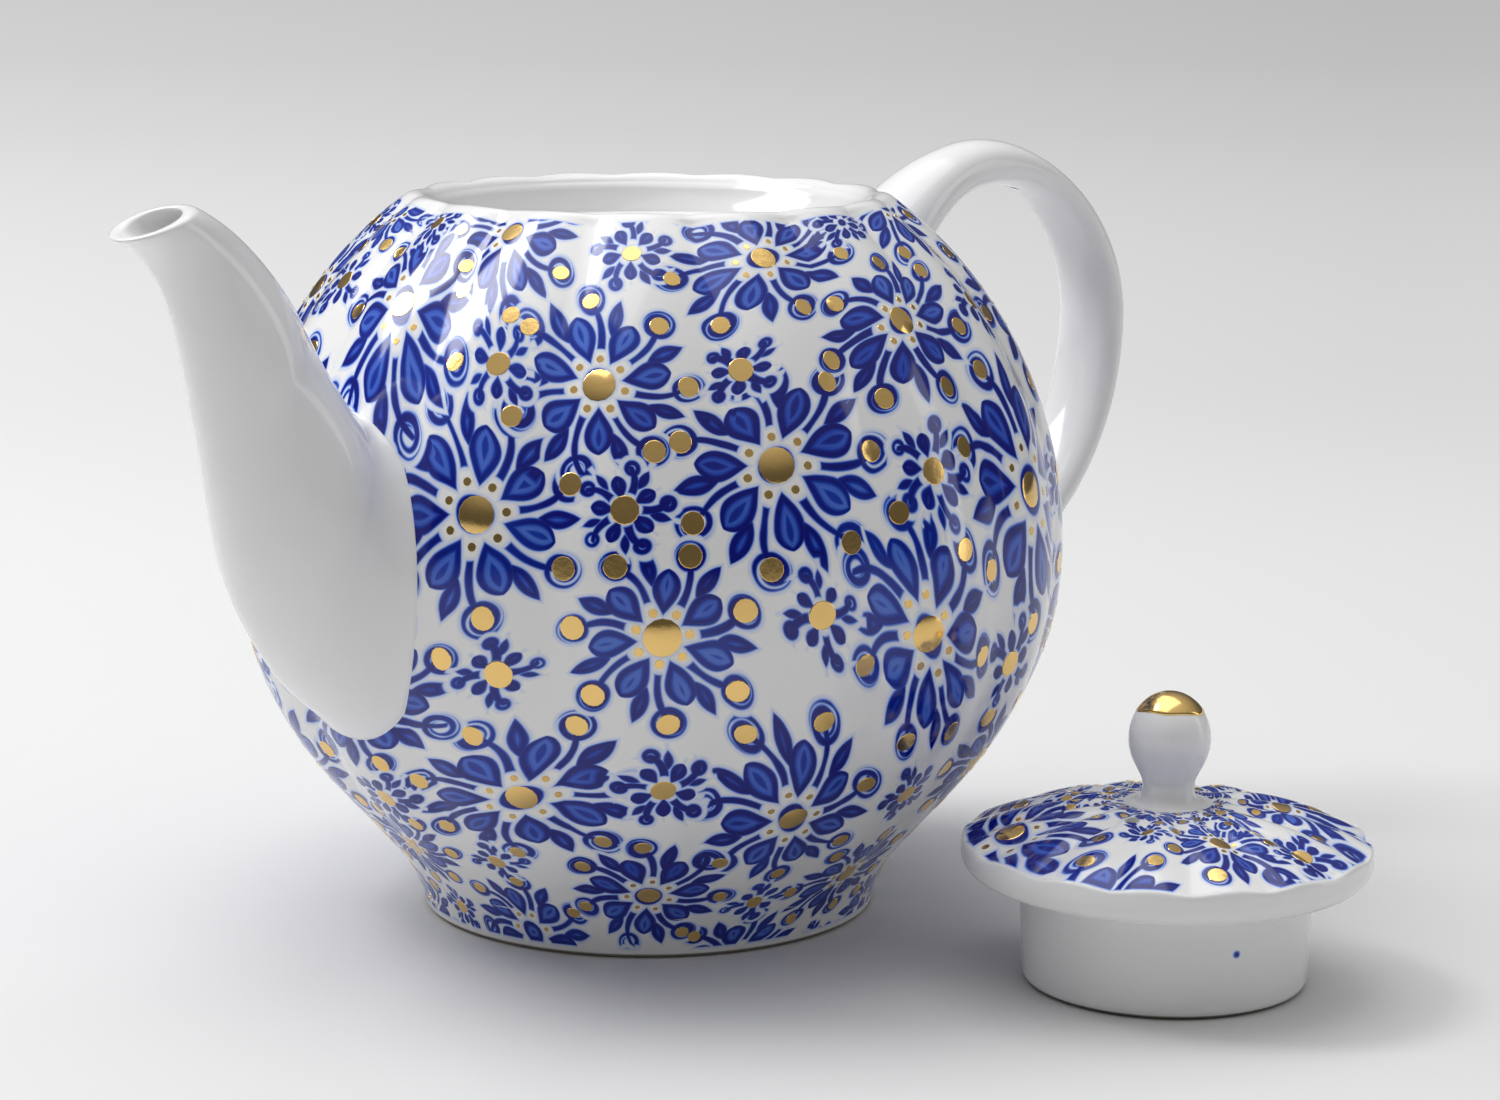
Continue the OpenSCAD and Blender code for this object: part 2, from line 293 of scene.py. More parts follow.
# %% [markdown]
# ## The body
#
# Outside, the profile runs up the foot, belly and shoulder and over the rim. Each station of it
# holds its radius, its height, the direction it faces, and how deep the creases between the lobes
# are there. They fade as the rim rolls over, which leaves the mouth a little wavy.

# %% Draw the outside of the body and its rim
SKIN_ROWS, ROLL_STEPS = 121, 12
FOOT_EDGE = 0.35                        # the small round at the foot's outer edge

skin_rows = np.linspace(0, 2, SKIN_ROWS)
outer = [(r, z, face, LOBE_DEPTH * smooth(z / LOBE_FULL_Z))
         for (r, z), face in zip(outline(skin_rows), facing(skin_rows))]
outer[0] = (FOOT_R, FOOT_EDGE, 0.0, 0.0)

roll_face = math.radians(ROLL_NORMAL)
roll_centre = (RIM_R - RIM_ROLL * math.cos(roll_face), RIM_Z - RIM_ROLL)
rolled = []
for t in np.linspace(0, 1, ROLL_STEPS + 1)[1:]:
    turn = math.radians(ROLL_NORMAL + t * (ROLL_END - ROLL_NORMAL))
    r = roll_centre[0] + RIM_ROLL * math.cos(turn)
    z = roll_centre[1] + RIM_ROLL * math.sin(turn)
    rolled.append((r, z, roll_face, LOBE_DEPTH * (1 - t) ** 2))
print("outside:", len(outer), "stations, and", len(rolled), "over the rim")

# %% [markdown]
# Inside, the profile goes down a recess for the lid's rim to a ledge, through the throat, along the
# inner wall and over the floor. Under the pot a shallow hollow leaves only a narrow ring standing
# on the table. A casting has no sharp corners inside, so the ledge gets small rounds.

# %% Draw the inside of the body and its foot
SEAT_R, SEAT_TOP, SEAT_DEPTH = 32.2, 2.4, 6.4
LEDGE_T, THROAT_R, UNDER_LEDGE = 3, 23.7, 2
FOOT_RING_W, FOOT_HOLLOW, HOLLOW_EDGE, RING_EDGE = 3.2, 2.4, 0.6, 0.3
SMALL = 0.5                             # radius of the small rounds on inner corners
WALL_TOP_S, WALL_END_S, WALL_ROWS = 1.72, 0.34, 60
LEDGE_ROOM, FLOOR_ROOM = 2, 3           # the inner wall's curve stops this far from ledge and floor
FLOOR_CURVE = ((3, 1), (7, 0))          # the curve into the floor: how far in, and how far above it


def corner(r, z, start, end, steps=4):
    """A small round: points on an arc about (r, z), from one angle to another in degrees."""
    turns = np.radians(np.linspace(start, end, steps + 1))
    return [(r + SMALL * math.cos(a), z + SMALL * math.sin(a)) for a in turns]


ledge_z = RIM_Z - SEAT_DEPTH
floor_z = FOOT_HOLLOW + WALL
inner_rows = np.linspace(WALL_TOP_S, WALL_END_S, WALL_ROWS)
wall_here = WALL + LOBE_DEPTH
cavity = [(r - wall_here * math.cos(a), z - wall_here * math.sin(a))
          for (r, z), a in zip(outline(inner_rows), facing(inner_rows))]
cavity = [p for p in cavity if floor_z + FLOOR_ROOM < p[1] < ledge_z - LEDGE_T - LEDGE_ROOM]
inside = (
    [(SEAT_R, RIM_Z - SEAT_TOP), (SEAT_R, ledge_z + SMALL)]
    + corner(THROAT_R + SMALL, ledge_z - SMALL, 90, 180)
    + corner(THROAT_R + SMALL, ledge_z - LEDGE_T + SMALL, 180, 270)
    + [(cavity[0][0] - UNDER_LEDGE, ledge_z - LEDGE_T)]
    + cavity
    + [(cavity[-1][0] - further_in, floor_z + above) for further_in, above in FLOOR_CURVE]
    + [(0, floor_z)]
)
ring_r = FOOT_R - FOOT_RING_W
under = [(0, FOOT_HOLLOW), (ring_r - HOLLOW_EDGE, FOOT_HOLLOW), (ring_r, FOOT_HOLLOW - HOLLOW_EDGE),
         (ring_r, RING_EDGE), (ring_r + RING_EDGE, 0), (FOOT_R - FOOT_EDGE, 0)]
stations = under + outer + rolled + inside
body_profile = [station[:2] for station in stations]
skin_start, skin_end = len(under), len(under) + len(outer) + len(rolled)
print("body profile:", len(body_profile), "points, chamber down to", floor_z, "mm")

# %% [markdown]
# The lobes are pressed in after spinning: each point of the outside moves inwards by the depth of
# the crease at its angle, and the inside stays round, as it does in a cast pot.

# %% Spin the body and press in its lobes
painted_body = spun("painted_body", body_profile, LOBES * STEPS_A_LOBE)


def rows_of(points, profile):
    """For each point of a spun piece, the row of the profile that it came from."""
    radius = np.hypot(points[:, 0], points[:, 1])
    row, gap = np.zeros(len(points), int), np.full(len(points), np.inf)
    for i, (r, z) in enumerate(profile):
        d = np.hypot(radius - r, points[:, 2] - z)
        row[d < gap], gap[d < gap] = i, d[d < gap]
    return row


def pressed(points, row, stations):
    """The points moved in by the creases; a station with no crease is (radius, height) alone."""
    face = np.array([s[2] if len(s) == 4 else 0 for s in stations])[row]
    depth = np.array([s[3] if len(s) == 4 else 0 for s in stations])[row]
    azimuth = np.arctan2(points[:, 1], points[:, 0])
    press = depth * crease(azimuth)
    radius = np.hypot(points[:, 0], points[:, 1]) - press * np.cos(face)
    height = points[:, 2] - press * np.sin(face)
    return np.stack([radius * np.cos(azimuth), radius * np.sin(azimuth), height], -1)


body_points = corners(painted_body)
body_row = rows_of(body_points, body_profile)
set_corners(painted_body, pressed(body_points, body_row, stations))
report(painted_body)

# %% [markdown]
# ## Two maps on the body
#
# The first map places the painting: its width is the angle round the pot and its height is the
# chart worked out above. Faces that carry no painting lie above or below the painted band. The
# second map is packed for baking, with most of its room given to the outside. Both are written
# face by face, because the faces on either side of the seam at the back share points but lie at
# opposite ends of the map.

# %% Helpers that write a map
ON_AXIS = 0.01                          # a point this near the axis has no angle of its own, in mm
BAKE_HALF = 0.49                        # half the width of the map for baking


def face_corners(piece):
    """For each corner of each face: its point's number, and an angle with no jump inside a face."""
    mesh = piece.data
    point = np.empty(len(mesh.loops), int)
    mesh.loops.foreach_get("vertex_index", point)
    first = np.empty(len(mesh.polygons), int)
    mesh.polygons.foreach_get("loop_start", first)
    face = np.zeros(len(mesh.loops), int)
    face[first[1:]] = 1
    face = np.cumsum(face)
    x, y = corners(piece)[point, :2].T
    middle_x, middle_y = (np.bincount(face, side) / np.bincount(face) for side in (x, y))
    face_angle = np.arctan2(middle_y, middle_x)[face]
    turn = (np.arctan2(y, x) - face_angle + np.pi) % (2 * np.pi) - np.pi
    return point, face_angle + np.where(np.hypot(x, y) < ON_AXIS, 0, turn)


def add_maps(piece, row, unit, row_height, row_share):
    """Writes the painting's map and the map for baking; each row of the profile has its heights."""
    point, angle = face_corners(piece)
    for name, u, v in (("paint", angle / unit, row_height),
                       ("OFBake", 0.5 + BAKE_HALF * angle / math.pi, row_share)):
        layer = piece.data.uv_layers.new(name=name)
        layer.data.foreach_set("uv", np.stack([u, v[row[point]]], -1).ravel())
    print("maps on", piece.name, [layer.name for layer in piece.data.uv_layers])


def run_along(profile):
    """How far along the profile each of its points lies, in millimetres."""
    return np.concatenate([[0], np.cumsum(np.linalg.norm(np.diff(profile, axis=0), axis=1))])


print("the body's profile is", round(run_along(body_profile)[-1]), "mm long")

# %% [markdown]
# The rows of the outside take their places on the chart. On the map for baking, the underside gets
# the lowest strip, the outside nearly three quarters, and the inside what is left.

# %% Write the body's two maps
ABOVE_PAINT, BELOW_PAINT = PAINT_TOP + 1, -1.0
BODY_SHARES = (0.02, 0.06, 0.74, 0.99)  # the starts of underside, outside and inside, and the end

row_height = np.full(len(stations), ABOVE_PAINT)
row_height[:skin_start] = BELOW_PAINT
row_height[skin_start:skin_start + len(outer)] = np.interp(skin_rows, ladder, chart_height)
run = run_along(body_profile)
row_share = np.interp(run, (0, run[skin_start], run[skin_end], run[-1]), BODY_SHARES)
add_maps(painted_body, body_row, UNIT, row_height, row_share)

# %% [markdown]
# ## The strainer
#
# Seven holes through the wall behind the spout keep the leaves back. Each is a cylinder, and a
# Boolean modifier takes them out of the body in one go.

# %% Drill the strainer holes
STRAINER_D, STRAINER_PITCH, STRAINER_SIDES = 5, 9, 32
SPOUT_ROOT_LOW, SPOUT_ROOT_HIGH = 34, 82
strainer_z = (SPOUT_ROOT_LOW + SPOUT_ROOT_HIGH) / 2


def cut_away(piece, tool):
    """Takes the tool's solid out of the piece and removes the tool."""
    only(piece)
    boolean = piece.modifiers.new("cut", "BOOLEAN")
    boolean.operation = "DIFFERENCE"
    boolean.solver = "EXACT"
    boolean.object = tool
    bpy.ops.object.modifier_apply(modifier=boolean.name)
    bpy.data.objects.remove(tool)


spots = [(0, 0)] + [(math.sin(i * math.pi / 3), math.cos(i * math.pi / 3)) for i in range(6)]
bpy.ops.object.select_all(action="DESELECT")
drills = []
for across, up in spots:
    place = (-GIRTH_R * MM, across * STRAINER_PITCH * MM, (strainer_z + up * STRAINER_PITCH) * MM)
    bpy.ops.mesh.primitive_cylinder_add(vertices=STRAINER_SIDES, radius=STRAINER_D / 2 * MM,
                                        depth=GIRTH_R / 2 * MM, location=place,
                                        rotation=(0, math.pi / 2, 0))
    drills.append(bpy.context.object)
for drill in drills:
    drill.select_set(True)
bpy.ops.object.join()
cut_away(painted_body, bpy.context.object)
report(painted_body)

# %% [markdown]
# ## Bending a sheet into a tube
#
# The spout and the handle are tubes whose width and thickness change all the way. A grid is the
# easiest start: its columns go round the tube and its rows along it, and one function says where
# each point of the sheet goes. Merging doubles then sews the edges that meet.

# %% A helper that bends a grid


def bent(name, columns, rows, place, open_ends):
    """A grid bent by place(around, row): around goes from 0 to a full turn, row counts from 0."""
    bpy.ops.object.select_all(action="DESELECT")
    bpy.ops.mesh.primitive_grid_add(x_subdivisions=columns, y_subdivisions=rows, size=1)
    piece = bpy.context.object
    piece.name = piece.data.name = name
    flat = corners(piece) * MM + 0.5
    set_corners(piece, place(2 * math.pi * flat[:, 0], np.rint(flat[:, 1] * rows)))
    bpy.ops.object.mode_set(mode="EDIT")
    bpy.ops.mesh.select_all(action="SELECT")
    bpy.ops.mesh.remove_doubles(threshold=MERGE * MM)
    if open_ends:
        bpy.ops.mesh.select_all(action="DESELECT")
        bpy.ops.mesh.select_non_manifold()
        bpy.ops.mesh.edge_face_add()
        bpy.ops.mesh.select_all(action="SELECT")
    bpy.ops.mesh.normals_make_consistent(inside=False)
    bpy.ops.object.mode_set(mode="OBJECT")
    bpy.ops.object.shade_smooth()
    return piece


def through(stations, t):
    """A value that runs smoothly through (place, value) stations."""
    places, values = np.transpose(stations)
    k = np.clip(np.searchsorted(places, t, side="right") - 1, 0, len(places) - 2)
    share = (t - places[k]) / (places[k + 1] - places[k])
    return values[k] + (values[k + 1] - values[k]) * smooth(share)


print("halfway from 2 to 4:", float(through([(0, 2), (1, 4)], np.array(0.5))))

# %% [markdown]
# ## Luting: where a tube meets the pot
#
# A potter scores both faces, wets them with slip, presses them together and wipes the seam with a
# finger, which leaves a soft hollow curve. So the tube's end follows the pot's skin, a little
# below it, and near the skin the tube flares out. Both need the distance from a point to the pot.

# %% Distance to the pot, and the place where a tube enters it
SINK = 1.2                              # how far the ends of tubes reach into the wall
HALVINGS = 30                           # how often the search for the entry halves its range
profile_rz = outline(ladder)
profile_face = facing(ladder)


def off_pot(points):
    """How far points lie outside the pot's skin, in millimetres."""
    x, y, height = np.moveaxis(points, -1, 0)
    face = np.interp(height, profile_rz[:, 1], profile_face)
    press = crease(np.arctan2(y, x)) * LOBE_DEPTH * smooth(height / LOBE_FULL_Z)
    gap = np.hypot(x, y) - np.interp(height, profile_rz[:, 1], profile_rz[:, 0])
    return gap * np.cos(face) + press


def entry(tube, around, deep, clear):
    """The place along a tube that lies SINK under the skin, between one deep and one clear."""
    deep, clear = np.full(len(around), float(deep)), np.full(len(around), float(clear))
    for _ in range(HALVINGS):
        t = (deep + clear) / 2
        under = off_pot(tube(t, around, 0)) < -SINK
        deep, clear = np.where(under, t, deep), np.where(under, clear, t)
    return (deep + clear) / 2


def flare(tube, t, around, width, reach):
    """How much wider the wiped seam makes the tube at each place near the pot."""
    return width * np.clip(1 - off_pot(tube(t, around, 0)) / reach, 0, 1) ** 3


print("a point 70 mm out at the girth is off the pot by, mm:",
      round(float(off_pot(np.array((70.0, 0, GIRTH_Z)))), 2))

# %% [markdown]
# ## The spout
#
# Seen from the side, the spout is the space between two curves: its back, which rises from the
# shoulder, and its belly, which swings far out below. It is widest at its root, a little narrower
# below than above, then narrow at the neck, and opens a little at a thick, rounded lip.

# %% Draw the spout's outside
SPOUT_REACH, SPOUT_LIP_Z, ROOT_S = 101, 112.5, 50
lip_far = np.array((SPOUT_REACH, SPOUT_LIP_Z))
lip_near = lip_far - (12.1, -4.5)
back_pulls = (ROOT_S + 19.7, SPOUT_ROOT_HIGH - 4.5), lip_near + (-24.3, -11)
belly_pulls = (ROOT_S + 45.2, SPOUT_ROOT_LOW + 6), lip_far + (-22, -6.5)
spout_widths = [(0, 22), (0.3, 14.2), (0.6, 9), (0.88, 5.7), (1, 6.2)]
ROOT_EGG, EGG_END = 0.2, 0.4            # how much narrower it is below, and where that ends


def spout_tube(t, around, inset):
    """A point of the spout: t along it, an angle round it, and a distance in from its outside."""
    back = bezier((ROOT_S, SPOUT_ROOT_HIGH), *back_pulls, lip_near, t)
    belly = bezier((ROOT_S, SPOUT_ROOT_LOW), *belly_pulls, lip_far, t)
    middle, span = (back + belly) / 2, back - belly
    length = np.linalg.norm(span, axis=-1)
    up = span / length[..., None] * (length / 2 - inset)[..., None] * np.cos(around)[..., None]
    egg = ROOT_EGG * np.clip(1 - t / EGG_END, 0, 1)
    width = (through(spout_widths, t) - inset) * (1 - egg * (1 - np.cos(around)) / 2)
    side = middle + up
    return np.stack([-side[..., 0], width * np.sin(around), side[..., 1]], -1)


print("the spout's lip is", round(float(np.linalg.norm(lip_far - lip_near)), 1), "mm long")

# %% [markdown]
# The sheet runs up the outside, over the lip and down the channel inside, and its last row is sewn
# to its first. That gives the spout a real wall, so tea could run through it.

# %% Bend the spout
SPOUT_WALL, LIP_WALL = 2.2, 2.1
WALL_CHANGE = 0.2                       # the share of the channel over which the wall changes
LIP_START, LIP_OUT = 0.993, 0.0135      # the lip's round, counted along the spout
OUTSIDE_ROWS, LIP_ROWS, CHANNEL_ROWS, SPOUT_COLUMNS = 84, 10, 44, 72
ROW_CROWDING = 1.4                      # above 1, rows stand closer together near the pot
SPOUT_CLEAR = 0.7                       # a place along the spout that is surely off the pot
SPOUT_SEAM = (1.2, 5)                   # the wiped seam: how much wider, and how far it reaches


def spout_place(around, row):
    """Where each point of the sheet goes: up the outside, over the lip and down the channel."""
    row = row % (OUTSIDE_ROWS + LIP_ROWS + CHANNEL_ROWS + 1)
    root = entry(spout_tube, around, 0, SPOUT_CLEAR)
    up_outside = np.clip(row / OUTSIDE_ROWS, 0, 1) ** ROW_CROWDING
    over_lip = np.clip((row - OUTSIDE_ROWS) / LIP_ROWS, 0, 1) * math.pi
    down_channel = np.clip((row - OUTSIDE_ROWS - LIP_ROWS) / CHANNEL_ROWS, 0, 1)
    t = np.where(down_channel > 0, LIP_START + (root - LIP_START) * down_channel,
                 root + (LIP_START - root) * up_outside + LIP_OUT * np.sin(over_lip))
    wall = LIP_WALL + (SPOUT_WALL - LIP_WALL) * smooth(down_channel / WALL_CHANGE)
    inset = wall / 2 * (1 - np.cos(over_lip))
    inset = inset - np.where(over_lip > 0, 0, flare(spout_tube, t, around, *SPOUT_SEAM))
    return spout_tube(t, around, inset)


white_spout = bent("white_spout", SPOUT_COLUMNS, OUTSIDE_ROWS + LIP_ROWS + CHANNEL_ROWS + 1,
                   spout_place, open_ends=False)
report(white_spout)

# %% [markdown]
# ## The handle
#
# The handle is a flattened strap that springs from the shoulder, swings round in a wide loop and
# comes back to the belly. Two Bezier curves give its centreline. Its half thickness and half width
# run through a few stations along it, thickest where it is luted on.

# %% Draw the handle
handle_mid = np.array((108.7, 85.7))
shoulder_root, belly_root = np.array((48.5, 96)), np.array((55, 36.2))
over_pulls = shoulder_root + (26.1, 35.2), handle_mid + (0, 21.6)
back_in_pulls = handle_mid + (0, -26.6), belly_root + (30.3, 6.2)
handle_thicks = [(0, 6), (0.15, 4.2), (0.3, 3.0), (0.5, 3.4), (0.75, 3.7), (1, 5.5)]
handle_widths = [(0, 8.7), (0.15, 6.2), (0.3, 6.4), (0.5, 6.8), (0.75, 7.1), (1, 8.5)]
WAY_STEP = 0.005                        # how far to each side the direction is read, along t


def handle_line(t):
    """The handle's centreline, as (distance from the axis, height)."""
    t = np.asarray(t, float)
    over = bezier(shoulder_root, *over_pulls, handle_mid, 2 * t)
    back = bezier(handle_mid, *back_in_pulls, belly_root, 2 * t - 1)
    return np.where((t < 0.5)[..., None], over, back)


def handle_tube(t, around, inset):
    """A point of the handle: t along it, an angle round it, and a distance in from its outside."""
    way = handle_line(np.minimum(t + WAY_STEP, 1)) - handle_line(np.maximum(t - WAY_STEP, 0))
    way = way / np.linalg.norm(way, axis=-1)[..., None]
    thick = (through(handle_thicks, t) - inset) * np.cos(around)
    width = (through(handle_widths, t) - inset) * np.sin(around)
    middle = handle_line(t)
    return np.stack([middle[..., 0] - way[..., 1] * thick, -width,
                     middle[..., 1] + way[..., 0] * thick], -1)


handle_far = handle_mid[0] + float(through(handle_thicks, np.array(0.5)))
print("the handle reaches out to, mm:", handle_far)

# %% [markdown]
# The sheet's rows stand closer together near both roots, where the seam is wiped to a soft curve.
# Its open ends are inside the pot's wall, and each is closed with one face.

# %% Bend the handle
HANDLE_ROWS, HANDLE_COLUMNS = 150, 56
END_CROWDING = 0.1                      # how much closer the rows stand near the ends
FIRST_ENTRY, LAST_ENTRY = (0, 0.3), (1, 0.7)    # a place in the pot, and one clear of it
HANDLE_SEAM = (1.8, 6)                  # the wiped seam: how much wider, and how far it reaches


def handle_place(around, row):
    """Where each point of the sheet goes, from the shoulder to the belly."""
    start = entry(handle_tube, around, *FIRST_ENTRY)
    end = entry(handle_tube, around, *LAST_ENTRY)
    share = row / HANDLE_ROWS
    share = share - END_CROWDING * np.sin(2 * math.pi * share)
    t = start + (end - start) * share
    return handle_tube(t, around, -flare(handle_tube, t, around, *HANDLE_SEAM))


white_handle = bent("white_handle", HANDLE_COLUMNS, HANDLE_ROWS, handle_place, open_ends=True)
report(white_handle)

# %% [markdown]
# The handle is cast hollow, and air shut inside would crack it in the kiln. A small slit on the
# inner side of its bend lets the air out. The cutter is a cube with bevelled edges, turned to
# follow the handle there.

# %% Cut the vent slit
VENT_T, VENT_L, VENT_W, VENT_DEEP = 0.245, 2.6, 1.2, 5
VENT_BEVEL, BEVEL_STEPS = 0.4, 3
vent = handle_line(VENT_T)
vent_way = handle_line(VENT_T + WAY_STEP) - handle_line(VENT_T - WAY_STEP)
bpy.ops.object.select_all(action="DESELECT")
bpy.ops.mesh.primitive_cube_add(size=1, location=(0, 0, -VENT_DEEP / 2 * MM),
                                scale=(VENT_L * MM, VENT_W * MM, VENT_DEEP * MM))
slit = bpy.context.object
bpy.ops.object.transform_apply(location=True, rotation=True, scale=True)
bpy.ops.object.mode_set(mode="EDIT")
bpy.ops.mesh.select_all(action="SELECT")
bpy.ops.mesh.bevel(offset=VENT_BEVEL * MM, segments=BEVEL_STEPS)
bpy.ops.object.mode_set(mode="OBJECT")
slit.location = (vent[0] * MM, 0, vent[1] * MM)
slit.rotation_euler = (0, -math.atan2(vent_way[1], vent_way[0]), 0)
cut_away(white_handle, slit)
report(white_handle)

# %% [markdown]
# ## The lid
#
# A skirt drops into the pot's throat, a thick plain rim lies in the recess, and a low dome above it
# has as many lobes as the pot. It is hollow like the pot. It is shaped round the Z axis, pierced
# with a steam hole, given its two maps, and only then turned and moved to its place on the table.

# %% Sizes of the lid, and its dome
LID_R, SKIRT_R, SKIRT_H, SKIRT_WALL = 30.7, 21.9, 16.2, 2.6
DOME_H, RIM_SIDE_H, DOME_CREASE, DOME_T = 11, 5.6, 0.8, 3
DOME_FOOT_Z, DOME_TOP_Z = SKIRT_H + RIM_SIDE_H, SKIRT_H + DOME_H
DOME_R, SEAT_BOSS_R = LID_R - 0.5, 6.4
CREASE_RISE = 3                         # the creases are full a third of the way down the dome


def dome_z(r):
    """The height of the dome; near the knob it is flat."""
    r = np.maximum(r, SEAT_BOSS_R)
    fall = ((r - SEAT_BOSS_R) / (DOME_R - SEAT_BOSS_R)) ** 2
    return DOME_FOOT_Z + (DOME_TOP_Z - DOME_FOOT_Z) * (1 - fall)


def dome_crease(r):
    """How deep the creases are: gone at the knob, and full from a third of the way down."""
    return DOME_CREASE * smooth((r - SEAT_BOSS_R) / (DOME_R - SEAT_BOSS_R) * CREASE_RISE)


def dome_face(r):
    """The direction that the dome faces, in radians above level."""
    down = np.maximum(r, SEAT_BOSS_R) - SEAT_BOSS_R
    fall = 2 * (DOME_TOP_Z - DOME_FOOT_Z) * down / (DOME_R - SEAT_BOSS_R) ** 2
    return math.pi / 2 - np.arctan(fall)


print("the dome rises", round(DOME_TOP_Z - DOME_FOOT_Z, 2), "mm above its edge")

# %% [markdown]
# The profile starts at the middle of the hollow, under the dome. It goes out to the skirt's wall
# and down it, round the skirt's rounded bottom edge, and up the outside to the rim.

# %% Draw the hollow and the skirt
HOLLOW_START, HOLLOW_CORNER, HOLLOW_DROP = 3, 2, 4
EDGE_UP = 1.4                           # how high the round of the skirt's outer edge goes
EDGE_IN, EDGE_START, TAPER = 0.3, 1.8, 0.6

inner_r, under_dome = SKIRT_R - SKIRT_WALL, DOME_TOP_Z - DOME_T
skirt = [(0, under_dome)]
hollow_rows = np.linspace(HOLLOW_START, inner_r - HOLLOW_CORNER, 12)
skirt += [(r, float(dome_z(r)) - DOME_T) for r in hollow_rows]
skirt += bezier(skirt[-1], np.add(skirt[-1], (1.4, -0.4)), (inner_r, under_dome - HOLLOW_DROP),
                (inner_r, SKIRT_H), np.linspace(0, 1, 9)[1:]).tolist()
skirt += [(inner_r, z) for z in np.linspace(SKIRT_H, EDGE_IN, 8)[1:]]
skirt += [(inner_r + EDGE_IN, 0), (SKIRT_R - EDGE_START, 0)]
skirt += bezier((SKIRT_R - EDGE_START, 0), (SKIRT_R - 1.2, 0), (SKIRT_R - 0.65, 0.6),
                (SKIRT_R - TAPER, EDGE_UP), np.linspace(0, 1, 8)[1:]).tolist()
skirt += np.linspace((SKIRT_R - TAPER, EDGE_UP), (SKIRT_R, SKIRT_H - 0.5), 10)[1:].tolist()
print("hollow and skirt:", len(skirt), "points, inner radius", round(inner_r, 1), "mm")

# %% [markdown]
# From the skirt a small round leads to the flat underside of the rim. The rim's lower edge is a
# quarter of a circle, and its side leans in to the edge of the dome, where the creases begin.

# %% Draw the rim and the dome, and spin the lid
RIM_ROUND, RIM_SIDE_START, NECK_ROUND = 3.2, 1.6, 0.5
LID_STEPS_A_LOBE = 10

skirt += [(SKIRT_R + 0.15, SKIRT_H - 0.15), (SKIRT_R + NECK_ROUND, SKIRT_H)]
skirt += [(r, SKIRT_H) for r in np.linspace(SKIRT_R + NECK_ROUND, LID_R - RIM_ROUND, 6)[1:]]
skirt += [(LID_R - RIM_ROUND + RIM_ROUND * math.sin(a), SKIRT_H + RIM_ROUND * (1 - math.cos(a)))
          for a in np.linspace(0, math.pi / 2, 12)[1:]]
edge = np.linspace(0, 1, 8)[:-1]
edge_points = bezier((LID_R, DOME_FOOT_Z - RIM_SIDE_START), (LID_R, DOME_FOOT_Z - 0.7),
                     (DOME_R + 0.3, DOME_FOOT_Z - 0.14), (DOME_R, DOME_FOOT_Z), edge)
skirt += [(r, z, float(dome_face(DOME_R)), DOME_CREASE * t * t)
          for (r, z), t in zip(edge_points, edge)]
dome_rows = np.concatenate([np.linspace(DOME_R, SEAT_BOSS_R, 40), (4, 2)])
dome = [(r, float(dome_z(r)), float(dome_face(r)), float(dome_crease(r))) for r in dome_rows]
lid_stations = skirt + dome + [(0, DOME_TOP_Z)]
lid_profile = [station[:2] for station in lid_stations]

painted_lid = spun("painted_lid", lid_profile, LOBES * LID_STEPS_A_LOBE)
lid_points = corners(painted_lid)
lid_row = rows_of(lid_points, lid_profile)
set_corners(painted_lid, pressed(lid_points, lid_row, lid_stations))
report(painted_lid)

# %% [markdown]
# The lid's painting map works like the body's: its width is the angle, one unit being a quarter of
# a turn, and its height grows with the logarithm of the radius, which keeps flowers round on a
# nearly flat disc. The rows of the skirt and rim lie far below the painted band.

# %% Write the lid's maps
LID_X, LID_Y, LID_TURN = 24, -87, math.radians(12)
LID_ROUND = 4                           # units round the lid
LID_UNIT = 2 * math.pi / LID_ROUND
FAR_BELOW = BELOW_PAINT - 5
LID_SHARES = (0.02, 0.45, 0.98)         # where the skirt and the dome start, and the end


def lid_place(u, v, lift):
    """The point of the lid on the table at (u, v) of its map, in millimetres."""
    azimuth = np.asarray(u) * LID_UNIT
    r = np.exp(np.asarray(v) * LID_UNIT)
    out = lift - dome_crease(r) * crease(azimuth)
    radius, azimuth = r + out * np.cos(dome_face(r)), azimuth + LID_TURN
    return np.stack([LID_X + radius * np.cos(azimuth), LID_Y + radius * np.sin(azimuth),
                     dome_z(r) + out * np.sin(dome_face(r))], -1)


lid_height = np.full(len(lid_stations), FAR_BELOW)
lid_height[len(skirt):-1] = np.log(dome_rows) / LID_UNIT
lid_height[-1] = 0
run = run_along(lid_profile)
lid_share = np.interp(run, (0, run[len(skirt)], run[-1]), LID_SHARES)
add_maps(painted_lid, lid_row, LID_UNIT, lid_height, lid_share)

# %% [markdown]
# The steam hole is drilled while the lid still stands on the axis. Then the lid is turned and
# moved, and the turn and place are applied, so that its object stays at the origin, unturned.

# %% Pierce the lid and stand it beside the pot
STEAM_D, STEAM_R, STEAM_SIDES = 2.2, 11.7, 24

bpy.ops.object.select_all(action="DESELECT")
bpy.ops.mesh.primitive_cylinder_add(vertices=STEAM_SIDES, radius=STEAM_D / 2 * MM,
                                    depth=2 * DOME_H * MM,
                                    location=(-STEAM_R * MM, 0, DOME_TOP_Z * MM))
cut_away(painted_lid, bpy.context.object)


def stand_beside(piece):
    """Turns a piece made on the Z axis and moves it to the lid's place."""
    only(piece)
    piece.rotation_euler = (0, 0, LID_TURN)
    piece.location = (LID_X * MM, LID_Y * MM, 0)
    bpy.ops.object.transform_apply(location=True, rotation=True, scale=True)


stand_beside(painted_lid)
report(painted_lid)

